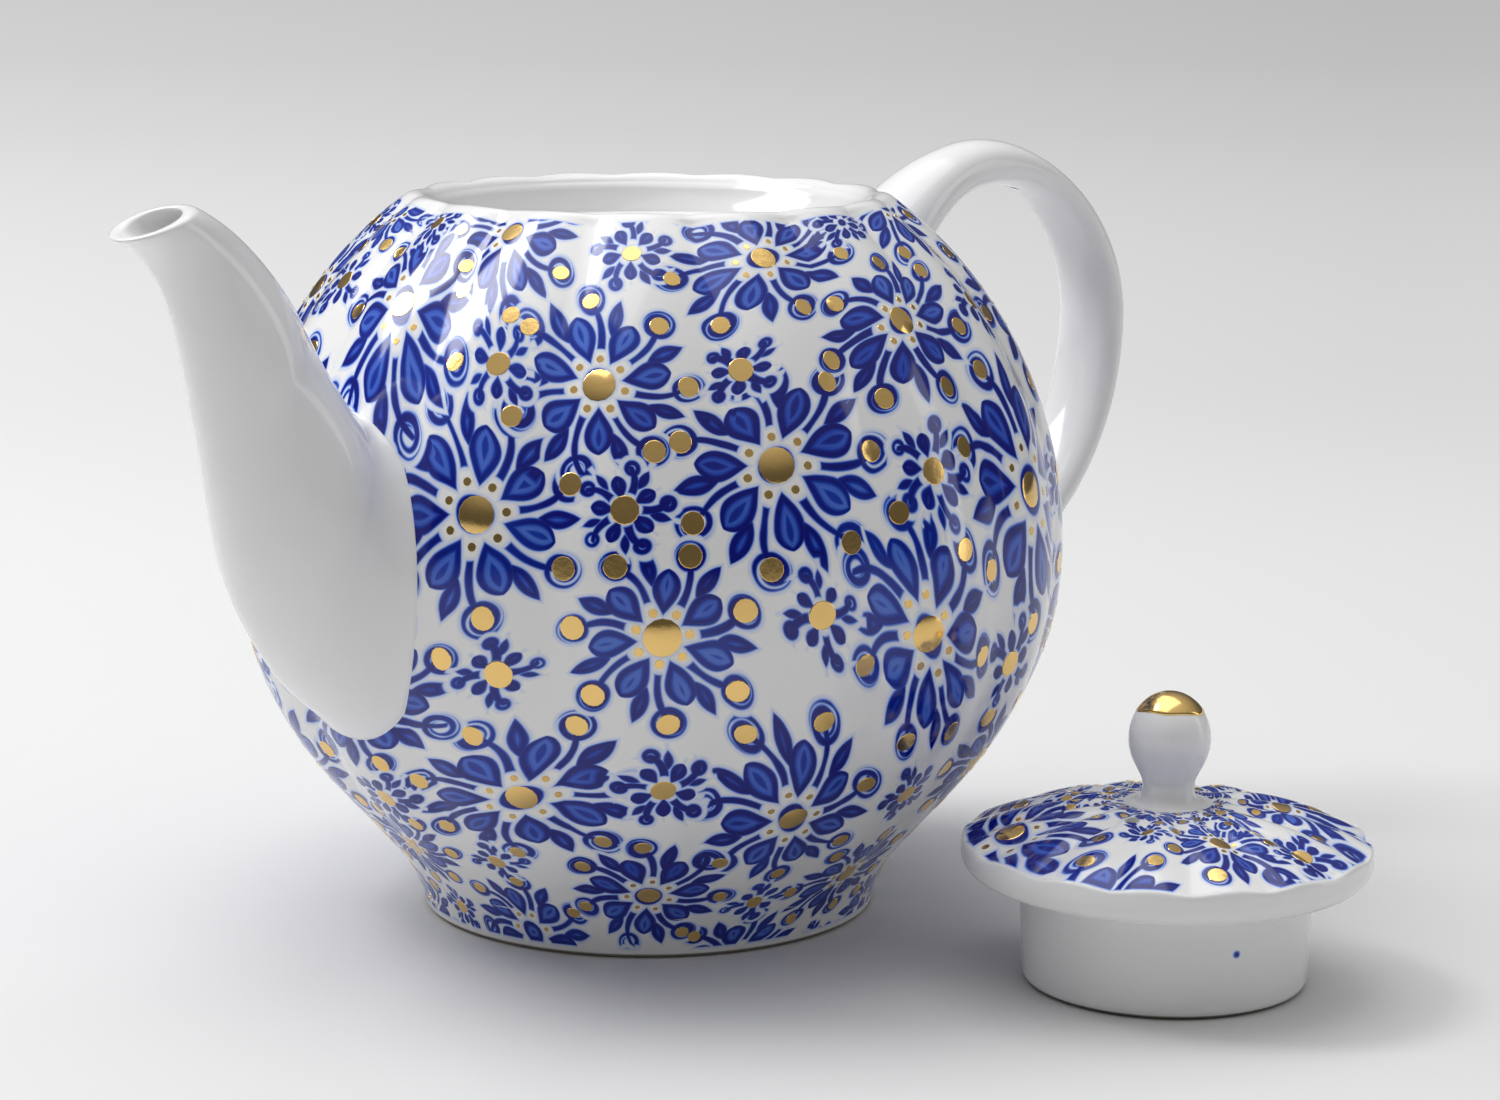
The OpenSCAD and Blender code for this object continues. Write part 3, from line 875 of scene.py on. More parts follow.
# %% [markdown]
# ## The knob
#
# The knob is an egg on a waisted stem, thrown by itself and luted on the dome. Its profile runs out
# under the foot, in to the neck, out to the widest part of the ball and up to the tip, a little
# lower there than the gold that will cover it.

# %% Spin the knob
KNOB_R, KNOB_NECK_R, KNOB_FOOT_R, KNOB_H = 6.2, 3.9, 6, 16.8
KNOB_NECK_Z, KNOB_BALL_Z, KNOB_STEPS = 2.9, 9.8, 64
KNOB_SINK, FOOT_LIP, FOOT_SINK = 0.3, 0.3, 0.03
GOLD_LIFT = 0.06                        # how far the gold cap stands out of the glaze


def ball(angle, inset):
    """The upper half of the knob: from its widest part at angle 0 to its tip at a quarter turn."""
    r, h = KNOB_R - inset, KNOB_H - KNOB_BALL_Z - inset
    return [(r * math.cos(a), DOME_TOP_Z + KNOB_BALL_Z + h * math.sin(a)) for a in angle]


stem_steps = np.linspace(0, 1, 15)[1:]
foot_r, side_r, knob_top = KNOB_FOOT_R + FOOT_LIP, KNOB_R - GOLD_LIFT, DOME_TOP_Z + KNOB_H
waist = bezier((foot_r, -FOOT_SINK), (KNOB_NECK_R + 0.5, 0), (KNOB_NECK_R, 0.5),
               (KNOB_NECK_R, KNOB_NECK_Z), stem_steps)
swell = bezier((KNOB_NECK_R, KNOB_NECK_Z), (KNOB_NECK_R, KNOB_NECK_Z + 1.6),
               (side_r, KNOB_BALL_Z - 3.6), (side_r, KNOB_BALL_Z), stem_steps)
knob_profile = [(0, DOME_TOP_Z - KNOB_SINK), (KNOB_FOOT_R - 0.5, DOME_TOP_Z - KNOB_SINK),
                (foot_r, DOME_TOP_Z - FOOT_SINK)]
knob_profile += (waist + (0, DOME_TOP_Z)).tolist() + (swell + (0, DOME_TOP_Z)).tolist()
knob_profile += ball(np.linspace(0, math.pi / 2, 16)[1:-1], GOLD_LIFT)
knob_profile += [(0, knob_top - GOLD_LIFT)]
white_knob = spun("white_knob", knob_profile, KNOB_STEPS)
stand_beside(white_knob)
report(white_knob)

# %% [markdown]
# The tip is gilded by hand, so the edge of the gold wanders a little. The gold is its own thin cap,
# standing a few hundredths of a millimetre proud of the glaze. Two sine waves round the knob move
# the points near its edge.

# %% Spin the gold cap
GOLD_EDGE = math.radians(38)            # how far up the ball the gold begins
CAP_DEEP, CAP_STEPS = 3 * GOLD_LIFT, 48
WANDER, WANDER_REACH = 0.22, 1.5        # how far the edge wanders, and how far up that is felt
WANDER_STRETCH = 6                      # a move up by this much would draw the gold in to the axis

cap_angles = np.linspace(GOLD_EDGE, math.pi / 2, 12)[:-1]
cap_profile = [(0, knob_top - CAP_DEEP)] + ball(cap_angles[::-1], CAP_DEEP)
cap_profile += ball(cap_angles, 0) + [(0, knob_top)]
gold_cap = spun("gold_cap", cap_profile, CAP_STEPS)
cap_points = corners(gold_cap)
cap_angle = np.arctan2(cap_points[:, 1], cap_points[:, 0])
above_edge = cap_points[:, 2] - cap_points[:, 2].min()
wander = WANDER * (np.sin(2 * cap_angle + 1) + 0.4 * np.sin(5 * cap_angle))
wander = wander * np.clip(1 - above_edge / WANDER_REACH, 0, 1)
cap_points[:, :2] *= (1 - wander / WANDER_STRETCH)[:, None]
cap_points[:, 2] += wander
set_corners(gold_cap, cap_points)
stand_beside(gold_cap)
report(gold_cap)

# %% [markdown]
# ## Helpers for materials
#
# Colours are written as hex codes, as a painter would pick them on a screen. Blender works with
# light itself, so each code goes through one conversion. One helper adds a node, fills or links its
# inputs in order, and sets its options. Everything painted below is built from it.

# %% The helpers for colours and nodes
MATH, VECTOR_MATH, RANGE = "ShaderNodeMath", "ShaderNodeVectorMath", "ShaderNodeMapRange"


def paint(code):
    """A hex colour as Blender's linear red, green, blue and alpha."""
    parts = [int(code[i:i + 2], 16) / 255 for i in (1, 3, 5)]
    return [c / 12.92 if c <= 0.04045 else ((c + 0.055) / 1.055) ** 2.4 for c in parts] + [1.0]


def add(tree, kind, *inputs, **settings):
    """Adds a node with these settings; an input is a number, a colour, a node, a socket or None."""
    node = tree.nodes.new(kind)
    for name, value in settings.items():
        setattr(node, name, value)
    sockets = [socket for socket in node.inputs if socket.enabled]
    for socket, value in zip(sockets, inputs):
        if isinstance(value, bpy.types.Node):
            tree.links.new(next(out for out in value.outputs if out.enabled), socket)
        elif isinstance(value, bpy.types.NodeSocket):
            tree.links.new(value, socket)
        elif value is not None:
            socket.default_value = value
    return node


print("mid grey as light:", round(paint("#808080")[0], 3))

# %% [markdown]
# A ramp turns a number into a colour, a group packs many nodes into one, and a new material starts
# as one shader with a colour and a few settings.

# %% The helpers for ramps, groups and materials


def set_ramp(ramp, stops):
    """Gives a Color Ramp node its (place, colour) stops."""
    elements = ramp.color_ramp.elements
    while len(elements) < len(stops):
        elements.new(1.0)
    for element, (place, colour) in zip(elements, stops):
        element.position = place
        element.color = colour


def new_group(name, inputs, outputs):
    """An empty node group with the named inputs and outputs, each (name, kind of socket)."""
    group = bpy.data.node_groups.new(name, "ShaderNodeTree")
    for label, kind in inputs:
        group.interface.new_socket(label, in_out="INPUT", socket_type=kind)
    for label, kind in outputs:
        group.interface.new_socket(label, in_out="OUTPUT", socket_type=kind)
    return group, group.nodes.new("NodeGroupInput").outputs, group.nodes.new("NodeGroupOutput")


def new_material(name, code, **settings):
    """A material of one colour, its nodes, and its shader with these inputs set."""
    material = bpy.data.materials.new(name)
    material.use_nodes = True
    shader = material.node_tree.nodes["Principled BSDF"]
    shader.inputs["Base Color"].default_value = paint(code)
    for label, value in settings.items():
        shader.inputs[label].default_value = value
    return material, material.node_tree, shader


print("materials so far:", len(bpy.data.materials))

# %% [markdown]
# ## One flower, drawn by distances
#
# A brush line is a distance: inside the stroke it is positive, outside negative. The flower's plane
# is cut into as many equal sectors as it has petals, so one petal, drawn once, appears in all of
# them. Turned by half a sector, the same trick draws what stands between the petals: a bent stem
# that ends in a curl, and a leaf. Joining strokes is taking the larger distance. Flowers could be
# flat pieces of mesh instead, but a distance stays sharp at any size and can also shade a stroke
# from its edge inwards, as real cobalt does.

# %% Start the flower group, and draw its petals
PETAL_FROM, PETAL_TO, PETAL_WIDE, PETAL_CUT = 0.05, 0.285, 0.057, 0.03
PETAL_END = 0.01                        # the round end of a petal reaches this much further

flower, given, result = new_group(
    "Sprig rosette",
    [("Vector", "NodeSocketVector"), ("Petals", "NodeSocketFloat"), ("Line", "NodeSocketFloat")],
    [("Distance", "NodeSocketFloat")],
)
axes = add(flower, "ShaderNodeSeparateXYZ", given["Vector"])
radius = add(flower, VECTOR_MATH, given["Vector"], operation="LENGTH").outputs["Value"]
angle = add(flower, MATH, axes.outputs["Y"], axes.outputs["X"], operation="ARCTAN2")
half = add(flower, MATH, math.pi, given["Petals"], operation="DIVIDE")
minus_half = add(flower, MATH, 0, half, operation="SUBTRACT")


def arc(turn):
    """How far a point lies, along the circle, from the line where this angle is 0."""
    turn = add(flower, MATH, turn, operation="ABSOLUTE")
    return add(flower, MATH, turn, radius, operation="MULTIPLY")


aside = arc(add(flower, MATH, angle, half, minus_half, operation="WRAP"))
along = add(flower, RANGE, radius, PETAL_FROM, PETAL_TO, 0, 1)
bulge = along
for operation, value in (("MULTIPLY", along), ("MULTIPLY", math.pi), ("SINE", None),
                         ("POWER", 0.5)):
    bulge = add(flower, MATH, bulge, value, operation=operation)
width = add(flower, MATH, bulge, PETAL_WIDE + PETAL_CUT, -PETAL_CUT, operation="MULTIPLY_ADD")
petal = add(flower, MATH, width, aside, operation="SUBTRACT")
beyond = add(flower, MATH, PETAL_TO + PETAL_END, radius, operation="SUBTRACT")
petal = add(flower, MATH, petal, beyond, operation="MINIMUM")
print("nodes for the petals:", len(flower.nodes))

# %% [markdown]
# The stem is a line along the middle of the gap between two petals. Its angle drifts with the
# square of the way it has climbed, so it starts straight and bends more and more towards its curl.

# %% Draw the stems
STEM_FROM, STEM_TO, STEM_BEND = 0.15, 0.36, 6.0

turned = add(flower, MATH, angle, half, operation="ADD")
turned = add(flower, MATH, turned, half, minus_half, operation="WRAP")
climb = add(flower, MATH, radius, STEM_FROM, operation="SUBTRACT")
bend = add(flower, MATH, climb, climb, operation="MULTIPLY")
bend = add(flower, MATH, bend, STEM_BEND, operation="MULTIPLY")
off = arc(add(flower, MATH, turned, bend, operation="SUBTRACT"))
stem = add(flower, MATH, given["Line"], off, operation="SUBTRACT")
top = add(flower, MATH, STEM_TO, radius, operation="SUBTRACT")
for limit in (top, climb):
    stem = add(flower, MATH, stem, limit, operation="MINIMUM")
print("nodes with the stems:", len(flower.nodes))

# %% [markdown]
# A curl is a spiral line round the place of a berry. The distance from its centre, less the turn
# round it, comes out the same all along a spiral, and the Ping-Pong operation measures how far a
# point is from the nearest winding.

# %% Draw the curls
CURL_R, CURL_ASIDE, CURL_WIDE, CURL_HOLE, CURL_PITCH = 0.345, 0.2, 0.062, 0.03, 0.034

sine = add(flower, MATH, turned, operation="SINE")
cosine = add(flower, MATH, turned, operation="COSINE")
out = add(flower, MATH, radius, cosine, operation="MULTIPLY")
out = add(flower, MATH, out, CURL_R * math.cos(CURL_ASIDE), operation="SUBTRACT")
across = add(flower, MATH, radius, sine, operation="MULTIPLY")
across = add(flower, MATH, across, CURL_R * math.sin(CURL_ASIDE), operation="SUBTRACT")
centred = add(flower, "ShaderNodeCombineXYZ", out, across, 0.0)
reach = add(flower, VECTOR_MATH, centred, operation="LENGTH").outputs["Value"]
spin = add(flower, MATH, across, out, operation="ARCTAN2")
turns = add(flower, MATH, reach, CURL_PITCH, operation="DIVIDE")
spin = add(flower, MATH, spin, 2 * math.pi, operation="DIVIDE")
turns = add(flower, MATH, turns, spin, operation="SUBTRACT")
wave = add(flower, MATH, turns, 0.5, operation="PINGPONG")
wave = add(flower, MATH, wave, CURL_PITCH, operation="MULTIPLY")
curl = add(flower, MATH, given["Line"], wave, operation="SUBTRACT")
outer_end = add(flower, MATH, CURL_WIDE, reach, operation="SUBTRACT")
inner_end = add(flower, MATH, reach, CURL_HOLE, operation="SUBTRACT")
for limit in (outer_end, inner_end):
    curl = add(flower, MATH, curl, limit, operation="MINIMUM")
print("nodes with the curls:", len(flower.nodes))

# %% [markdown]
# The leaf stands on the other side of the stem and is pointed at both ends, which is half a sine
# wave along its length. The heart is a plain disc. Then all the strokes are joined.

# %% Draw the leaves and the heart, and join the strokes
LEAF_FROM, LEAF_TO, LEAF_ASIDE, LEAF_WIDE, LEAF_CUT = 0.17, 0.4, -0.17, 0.03, 0.03
HEART = 0.06

blade = add(flower, RANGE, radius, LEAF_FROM, LEAF_TO, 0, math.pi)
blade = add(flower, MATH, blade, operation="SINE")
blade = add(flower, MATH, blade, LEAF_WIDE + LEAF_CUT, -LEAF_CUT, operation="MULTIPLY_ADD")
lean = arc(add(flower, MATH, turned, -LEAF_ASIDE, operation="ADD"))
leaf = add(flower, MATH, blade, lean, operation="SUBTRACT")
beyond = add(flower, MATH, LEAF_TO, radius, operation="SUBTRACT")
leaf = add(flower, MATH, leaf, beyond, operation="MINIMUM")

heart = add(flower, MATH, HEART, radius, operation="SUBTRACT")
joined = petal
for stroke in (stem, curl, leaf, heart):
    joined = add(flower, MATH, joined, stroke, operation="MAXIMUM")
flower.links.new(joined.outputs[0], result.inputs["Distance"])
print("nodes in the flower:", len(flower.nodes))

# %% [markdown]
# ## Scattering flowers over the map
#
# The map is cut into square cells with one flower in each. Two sets of large flowers stand half a
# cell apart like the black fields of a chessboard, and two sets of small ones fill the gaps. So
# that it doesn't look printed, each cell's flower is turned, moved and sized a little differently,
# and the whole pattern sways. The differences come from sine waves that fit round the pot a whole
# number of times, so the painting closes at the back. Random numbers would vary it as well, but
# sines can be worked out again in Python, which will tell where the gold goes.

# %% The sines, and the sets of flowers
TURN_MOST, SHIFT_MOST, GROWTH_MOST = 2.6, 0.06, 0.1
SWAY_MOST, SWAY_STEP = 0.11, 2.2        # the slow sway of the whole pattern, in units
EDGE_LOW, EDGE_HIGH = 0.055, 0.03       # what stays bare at the foot and at the rim, in units
KNOB_GAP, DOME_GAP = 0.3, 0.4           # what stays bare round the knob and at the dome's edge, mm


def waves(round_units):
    """The four sines that vary a cell: each one's wave vector and phase."""
    whole = 2 * math.pi / round_units
    return [((whole * 3, 2.1, 0), 0.0), ((whole * 5, 4.3, 0), 0.0),
            ((whole * 2, 3.1, 0), 1.0), ((whole, 5.2, 0), 0.0)]


def sways(round_units):
    """The two sines that sway the pattern sideways and upwards: wave vector and phase."""
    whole = 2 * math.pi / round_units
    return [((whole * 2, SWAY_STEP, 0), 0.4), ((whole * 3, -SWAY_STEP, 0), 1.9)]


# (offset of the cells, phase, size, petals) of each set of flowers
BODY_SETS = [((0.5, 0, 0), 0.0, 0.92, 7), ((0, 0.5, 0), 1.3, 0.92, 7),
             ((0, 0, 0), 0.7, 0.4, 5), ((0.5, 0.5, 0), 2.1, 0.38, 4)]
LID_SETS = [((0.5, 0.87, 0), 0.4, 0.92, 7), ((0, 0.37, 0), 1.3, 0.92, 7),
            ((0, 0.87, 0), 0.7, 0.4, 5), ((0.5, 0.37, 0), 2.1, 0.38, 4)]
BODY_LOW, BODY_HIGH = EDGE_LOW, PAINT_TOP - EDGE_HIGH
LID_LOW = math.log(SEAT_BOSS_R + KNOB_GAP) / LID_UNIT
LID_HIGH = math.log(DOME_R - DOME_GAP) / LID_UNIT
print("painted band of the lid, in units:", round(LID_LOW, 2), "to", round(LID_HIGH, 2))

# %% [markdown]
# In the group, a place on the map first loses its cell's middle, so every cell draws the same
# flower. The sines of the cell's number then move, turn and size it. A line is as wide on a small
# flower as on a large one, because its width is divided by the size before the flower grows by it.

# %% Build the scatter group


def scatter_group(round_units):
    """A group that draws one flower in every cell of a map that is round_units wide."""
    group, given, result = new_group(
        f"Scatter over {round_units}",
        [("Vector", "NodeSocketVector"), ("Offset", "NodeSocketVector")]
        + [(label, "NodeSocketFloat") for label in ("Phase", "Scale", "Petals", "Line")],
        [("Distance", "NodeSocketFloat")],
    )
    moved = add(group, VECTOR_MATH, given["Vector"], given["Offset"], operation="SUBTRACT")
    cell = add(group, VECTOR_MATH, moved, (0.5, 0.5, 0.5), operation="ADD")
    cell = add(group, VECTOR_MATH, cell, operation="FLOOR")
    cell = add(group, VECTOR_MATH, cell, (1, 1, 0), operation="MULTIPLY")
    local = add(group, VECTOR_MATH, moved, cell, operation="SUBTRACT")
    sines = []
    for wave, phase in waves(round_units):
        swing = add(group, VECTOR_MATH, cell, wave, operation="DOT_PRODUCT").outputs["Value"]
        swing = add(group, MATH, swing, phase, operation="ADD")
        swing = add(group, MATH, swing, given["Phase"], operation="ADD")
        sines.append(add(group, MATH, swing, operation="SINE"))
    shift = add(group, "ShaderNodeCombineXYZ", sines[1], sines[2], 0.0)
    shift = add(group, VECTOR_MATH, shift, operation="SCALE")
    shift.inputs["Scale"].default_value = SHIFT_MOST
    local = add(group, VECTOR_MATH, local, shift, operation="SUBTRACT")
    turn = add(group, MATH, sines[0], -TURN_MOST, operation="MULTIPLY")
    local = add(group, "ShaderNodeVectorRotate", local, (0, 0, 0), turn, rotation_type="Z_AXIS")
    size = add(group, MATH, sines[3], GROWTH_MOST, 1.0, operation="MULTIPLY_ADD")
    size = add(group, MATH, size, given["Scale"], operation="MULTIPLY")
    shrink = add(group, MATH, 1.0, size, operation="DIVIDE")
    scaled = add(group, VECTOR_MATH, local, operation="SCALE")
    group.links.new(shrink.outputs[0], scaled.inputs["Scale"])
    line = add(group, MATH, given["Line"], size, operation="DIVIDE")
    drawn = add(group, "ShaderNodeGroup", node_tree=flower)
    for socket, label in ((scaled.outputs[0], "Vector"), (given["Petals"], "Petals"),
                          (line.outputs[0], "Line")):
        group.links.new(socket, drawn.inputs[label])
    back = add(group, MATH, drawn, size, operation="MULTIPLY")
    group.links.new(back.outputs[0], result.inputs["Distance"])
    return group


scatters = {units: scatter_group(units) for units in (ROUND, LID_ROUND)}
print("nodes in each scatter group:", [len(group.nodes) for group in scatters.values()])

# %% [markdown]
# ## White porcelain under clear glaze
#
# Hard porcelain is fired so hot that much of its clay turns to glass and its clear glaze melts into
# it. To the eye that is a very pale white with sharp, mirror-like lights of the glaze over it. The
# glaze is a glass, so its index of refraction is 1.5, and it is nearly smooth. Light that soaks in
# could be added, but in a wall this thick it only makes the white paler, so the colour is plain.

# %% Mix the plain porcelain
PORCELAIN, GLAZE_ROUGHNESS = "#F1F1F1", 0.1
GLAZE = {"Roughness": GLAZE_ROUGHNESS, "IOR": 1.5}

white_glaze = new_material("White porcelain, clear glaze", PORCELAIN, **GLAZE)[0]
print("white glaze:", PORCELAIN, GLAZE)

# %% [markdown]
# ## Cobalt under glaze
#
# Cobalt oxide is painted on the raw white ware and sinks into the glaze as it melts. The stroke
# keeps a darker, slightly blurred edge where the colour gathered, is thinner in the middle, and
# varies with the load of the brush. A hand trembles, so the strokes' places waver too.

# %% Let the pattern sway and the hand tremble
TREMBLE_SCALE, TREMBLE_MOST = 90.0, 0.035    # waves a metre, so about 11 mm; and map units


def swayed_place(tree, place, spot, round_units):
    """The place on the map, moved by the trembling of the hand and the sway of the pattern."""
    noise = add(tree, "ShaderNodeTexNoise", place, TREMBLE_SCALE, 1.0, 0.5).outputs["Color"]
    most = (TREMBLE_MOST, TREMBLE_MOST, 0.0)
    tremble = add(tree, VECTOR_MATH, noise, (0.5, 0.5, 0.5), operation="SUBTRACT")
    tremble = add(tree, VECTOR_MATH, tremble, most, operation="MULTIPLY")
    swings = []
    for wave, phase in sways(round_units):
        swing = add(tree, VECTOR_MATH, spot, wave, operation="DOT_PRODUCT").outputs["Value"]
        swing = add(tree, MATH, swing, phase, operation="ADD")
        swings.append(add(tree, MATH, swing, operation="SINE"))
    sway = add(tree, "ShaderNodeCombineXYZ", *swings, 0.0)
    sway = add(tree, VECTOR_MATH, sway, (SWAY_MOST, SWAY_MOST, 0), operation="MULTIPLY")
    spot = add(tree, VECTOR_MATH, spot, tremble, operation="ADD")
    return add(tree, VECTOR_MATH, spot, sway, operation="ADD")


print("the pattern sways by", SWAY_MOST, "units and trembles by", TREMBLE_MOST / 2)

# %% [markdown]
# The four sets of flowers are laid one over the other. A clear line is kept round each flower, as a
# painter leaves one where two flowers meet. The brush is pressed more or less, which moves the
# edge of every stroke a little, and nothing is painted outside the band.

# %% Measure the distance to the nearest brush stroke
HALO = 0.028                            # the clear line kept round each flower, in map units
PRESS_SCALE, PRESS_MOST = 160.0, 0.003  # pressed differently each 6 mm; in map units


def stroke_distance(tree, place, round_units, sets, line, low, high):
    """How far inside a brush stroke each place is, between two heights of the paint map."""
    spot = add(tree, "ShaderNodeUVMap", uv_map="paint")
    height = add(tree, "ShaderNodeSeparateXYZ", spot).outputs["Y"]
    spot = swayed_place(tree, place, spot, round_units)
    nearest = None
    for offset, phase, scale, petals in sets:
        drawn = add(tree, "ShaderNodeGroup", node_tree=scatters[round_units])
        tree.links.new(spot.outputs[0], drawn.inputs["Vector"])
        for label, value in (("Offset", offset), ("Phase", phase), ("Scale", scale),
                             ("Petals", petals), ("Line", line)):
            drawn.inputs[label].default_value = value
        if nearest:
            clear = add(tree, MATH, -HALO, drawn, operation="SUBTRACT")
            nearest = add(tree, MATH, nearest, clear, operation="MINIMUM")
            nearest = add(tree, MATH, nearest, drawn, operation="MAXIMUM")
        else:
            nearest = drawn
    press = add(tree, "ShaderNodeTexNoise", place, PRESS_SCALE, 1.0, 0.5)
    press = add(tree, RANGE, press, 0.3, 0.7, -PRESS_MOST, PRESS_MOST)
    nearest = add(tree, MATH, nearest, press, operation="ADD")
    above = add(tree, MATH, height, low, operation="SUBTRACT")
    below = add(tree, MATH, high, height, operation="SUBTRACT")
    for limit in (above, below):
        nearest = add(tree, MATH, nearest, limit, operation="MINIMUM")
    return nearest


print("sets of flowers on the pot and the lid:", len(BODY_SETS), len(LID_SETS))

# %% [markdown]
# The distance becomes a density of cobalt: a thin halo outside the stroke, the darkest line just
# inside its edge, and a wash in the middle. The density becomes a colour between the white and a
# deep blue. The ring that stands on the table was wiped free of glaze so that it wouldn't stick in
# the kiln, so the lowest half millimetre is bare and dull. Its colour is darker partly as bare clay
# and partly as painted shade, standing for the shadow where the foot meets the table. The lid's
# skirt has one stray speck of cobalt, as hand-painted ware often has.

# %% Mix the painted porcelain
STROKE_OUT, STROKE_IN = -0.03, 0.07     # the distances over which the stroke's density is spread
STROKE = [(0.1, 0), (0.24, 0.12), (0.32, 0.92), (0.44, 1), (0.58, 0.66), (0.7, 0.62), (0.8, 0.85)]
COBALT = [(0.0, PORCELAIN), (0.15, "#C3D0F2"), (0.45, "#5F88E0"), (0.7, "#143CB0"),
          (0.92, "#030C78")]
LOAD_SCALE = 45.0                       # the load of the brush changes every 22 mm or so
BARE_SHADE_TOP, BARE_SHADE_BLEND = 0.4, 0.15        # how high the bare ring reaches, and its soft edge, in mm
# The bare ring's colour is partly the clay's own and partly painted shade: it is made darker to
# stand for the shadow where the foot meets the table.
BARE_CLAY_AND_SHADE, BARE_ROUGHNESS = "#8C857B", 0.6
SPECK_CORE, SPECK_EDGE, SPECK_DARK = 0.25, 0.7, 0.85    # mm, mm, and its density


def painted_porcelain(name, round_units, sets, line, low, high, speck=None):
    """The same porcelain with cobalt flowers between two heights of the map, and maybe a speck."""
    material, tree, shader = new_material(name, PORCELAIN, **GLAZE)
    place = add(tree, "ShaderNodeTexCoord").outputs["Object"]
    nearest = stroke_distance(tree, place, round_units, sets, line, low, high)
    stroke = add(tree, RANGE, nearest, STROKE_OUT, STROKE_IN, 0, 1)
    stroke = add(tree, "ShaderNodeValToRGB", stroke)
    set_ramp(stroke, [(stop, (grey, grey, grey, 1)) for stop, grey in STROKE])
    load = add(tree, "ShaderNodeTexNoise", place, LOAD_SCALE, 2.0, 0.5)
    load = add(tree, RANGE, load, 0.3, 0.7, 0.85, 1.08)
    density = add(tree, MATH, stroke, load, operation="MULTIPLY")
    if speck:
        gap = add(tree, VECTOR_MATH, place, speck, operation="DISTANCE").outputs["Value"]
        mark = add(tree, RANGE, gap, SPECK_CORE * MM, SPECK_EDGE * MM, SPECK_DARK, 0)
        density = add(tree, MATH, density, mark, operation="MAXIMUM")
    colour = add(tree, "ShaderNodeValToRGB", density)
    set_ramp(colour, [(stop, paint(code)) for stop, code in COBALT])
    # The lowest band is bare and dull, and its darker colour is partly painted shade of the contact
    # with the table.
    foot = add(tree, "ShaderNodeSeparateXYZ", place).outputs["Z"]
    bare_and_shade = add(tree, RANGE, foot, BARE_SHADE_TOP * MM, (BARE_SHADE_TOP + BARE_SHADE_BLEND) * MM, 1, 0)
    colour = add(tree, "ShaderNodeMix", bare_and_shade, colour, paint(BARE_CLAY_AND_SHADE), data_type="RGBA")
    tree.links.new(next(out for out in colour.outputs if out.enabled), shader.inputs["Base Color"])
    dull = add(tree, RANGE, bare_and_shade, 0, 1, GLAZE_ROUGHNESS, BARE_ROUGHNESS)
    tree.links.new(dull.outputs[0], shader.inputs["Roughness"])
    print(name, "has", len(tree.nodes), "nodes")
    return material


# %% [markdown]
# The lid is smaller, so its map's unit is smaller too, and its lines are drawn a little wider on
# the map to come out about as wide as the body's.

# %% Paint the pot and the lid, and glaze the white pieces
BODY_LINE, LID_LINE = 0.0105, 0.0125    # half the width of a drawn line, in map units
SPECK_PLACE = (15.6 * MM, -106.9 * MM, 9.6 * MM)

body_glaze = painted_porcelain("Porcelain painted with cobalt, pot", ROUND, BODY_SETS,
                               BODY_LINE, BODY_LOW, BODY_HIGH)
lid_glaze = painted_porcelain("Porcelain painted with cobalt, lid", LID_ROUND, LID_SETS,
                              LID_LINE, LID_LOW, LID_HIGH, speck=SPECK_PLACE)
glazes = ((painted_body, body_glaze), (painted_lid, lid_glaze), (white_spout, white_glaze),
          (white_handle, white_glaze), (white_knob, white_glaze))
for piece, glaze in glazes:
    piece.data.materials.clear()
    piece.data.materials.append(glaze)
    print(piece.name, "->", glaze.name)

# %% [markdown]
# ## Gold over the glaze
#
# The gold is laid last, on top of the fired glaze, in drops that stand a little proud: a button in
# the heart of each flower with a ring of small dots round it, and a berry in each curl. It could be
# one more colour of the painting, but real drops have edges that catch the light. To know where
# they go, the sines of every cell are worked out once more, now as numbers. The sway of the pattern
# is undone by trying again and again, each time from the last place found.

# %% Turn the cells into places on the map
LARGE = 0.6                             # a flower above this size is one of the large ones
SWAY_TRIES = 12


def flowers(sets, round_units, low, high):
    """The centre, turn, size and petals of every flower between two heights of a map."""
    for (off_u, off_v, _), set_phase, scale, petals in sets:
        for i in range(-round_units // 2, round_units - round_units // 2):
            for j in range(math.floor(low - off_v) - 1, math.ceil(high - off_v) + 2):
                turn, shift_u, shift_v, growth = (
                    math.sin(wave[0] * i + wave[1] * j + phase + set_phase)
                    for wave, phase in waves(round_units))
                yield (off_u + i + SHIFT_MOST * shift_u, off_v + j + SHIFT_MOST * shift_v,
                       TURN_MOST * turn, scale * (1 + GROWTH_MOST * growth), petals)


def still(u, v, round_units):
    """The place on the map that the sway carries to (u, v)."""
    near_u, near_v = u, v
    for _ in range(SWAY_TRIES):
        sway_u, sway_v = (math.sin(wave[0] * near_u + wave[1] * near_v + phase)
                          for wave, phase in sways(round_units))
        near_u, near_v = u - SWAY_MOST * sway_u, v - SWAY_MOST * sway_v
    return near_u, near_v


def map_gap(u, v, other, round_units):
    """How far (u, v) is from another place on the map, the short way round."""
    round_gap = (u - other[0] + round_units / 2) % round_units - round_units / 2
    return math.hypot(round_gap, v - other[1])


print("flowers worked out for the pot:", len(list(flowers(BODY_SETS, ROUND, BODY_LOW, BODY_HIGH))))

# %% [markdown]
# A berry is left out where a small flower grows over its curl. The drops are then taken from the
# largest to the smallest, and one that would touch a drop already taken, or that comes too near
# the edge of the painting, is left out.

# %% Choose the drops
BUTTON, SMALL_BUTTON, BERRY, DOT = 0.055, 0.042, 0.035, 0.013    # radii of the drops, in map units
DOT_RING = 0.105                        # how far a dot stands from the heart of a flower of size 1
BERRY_CLEAR = 0.6 * BERRY               # how much further than its own curls a small flower reaches
EDGE_RADII = 1.3                        # how many of its radii a drop keeps from the edge
DROP_GAP = 0.004                        # the least gap between two drops, in map units


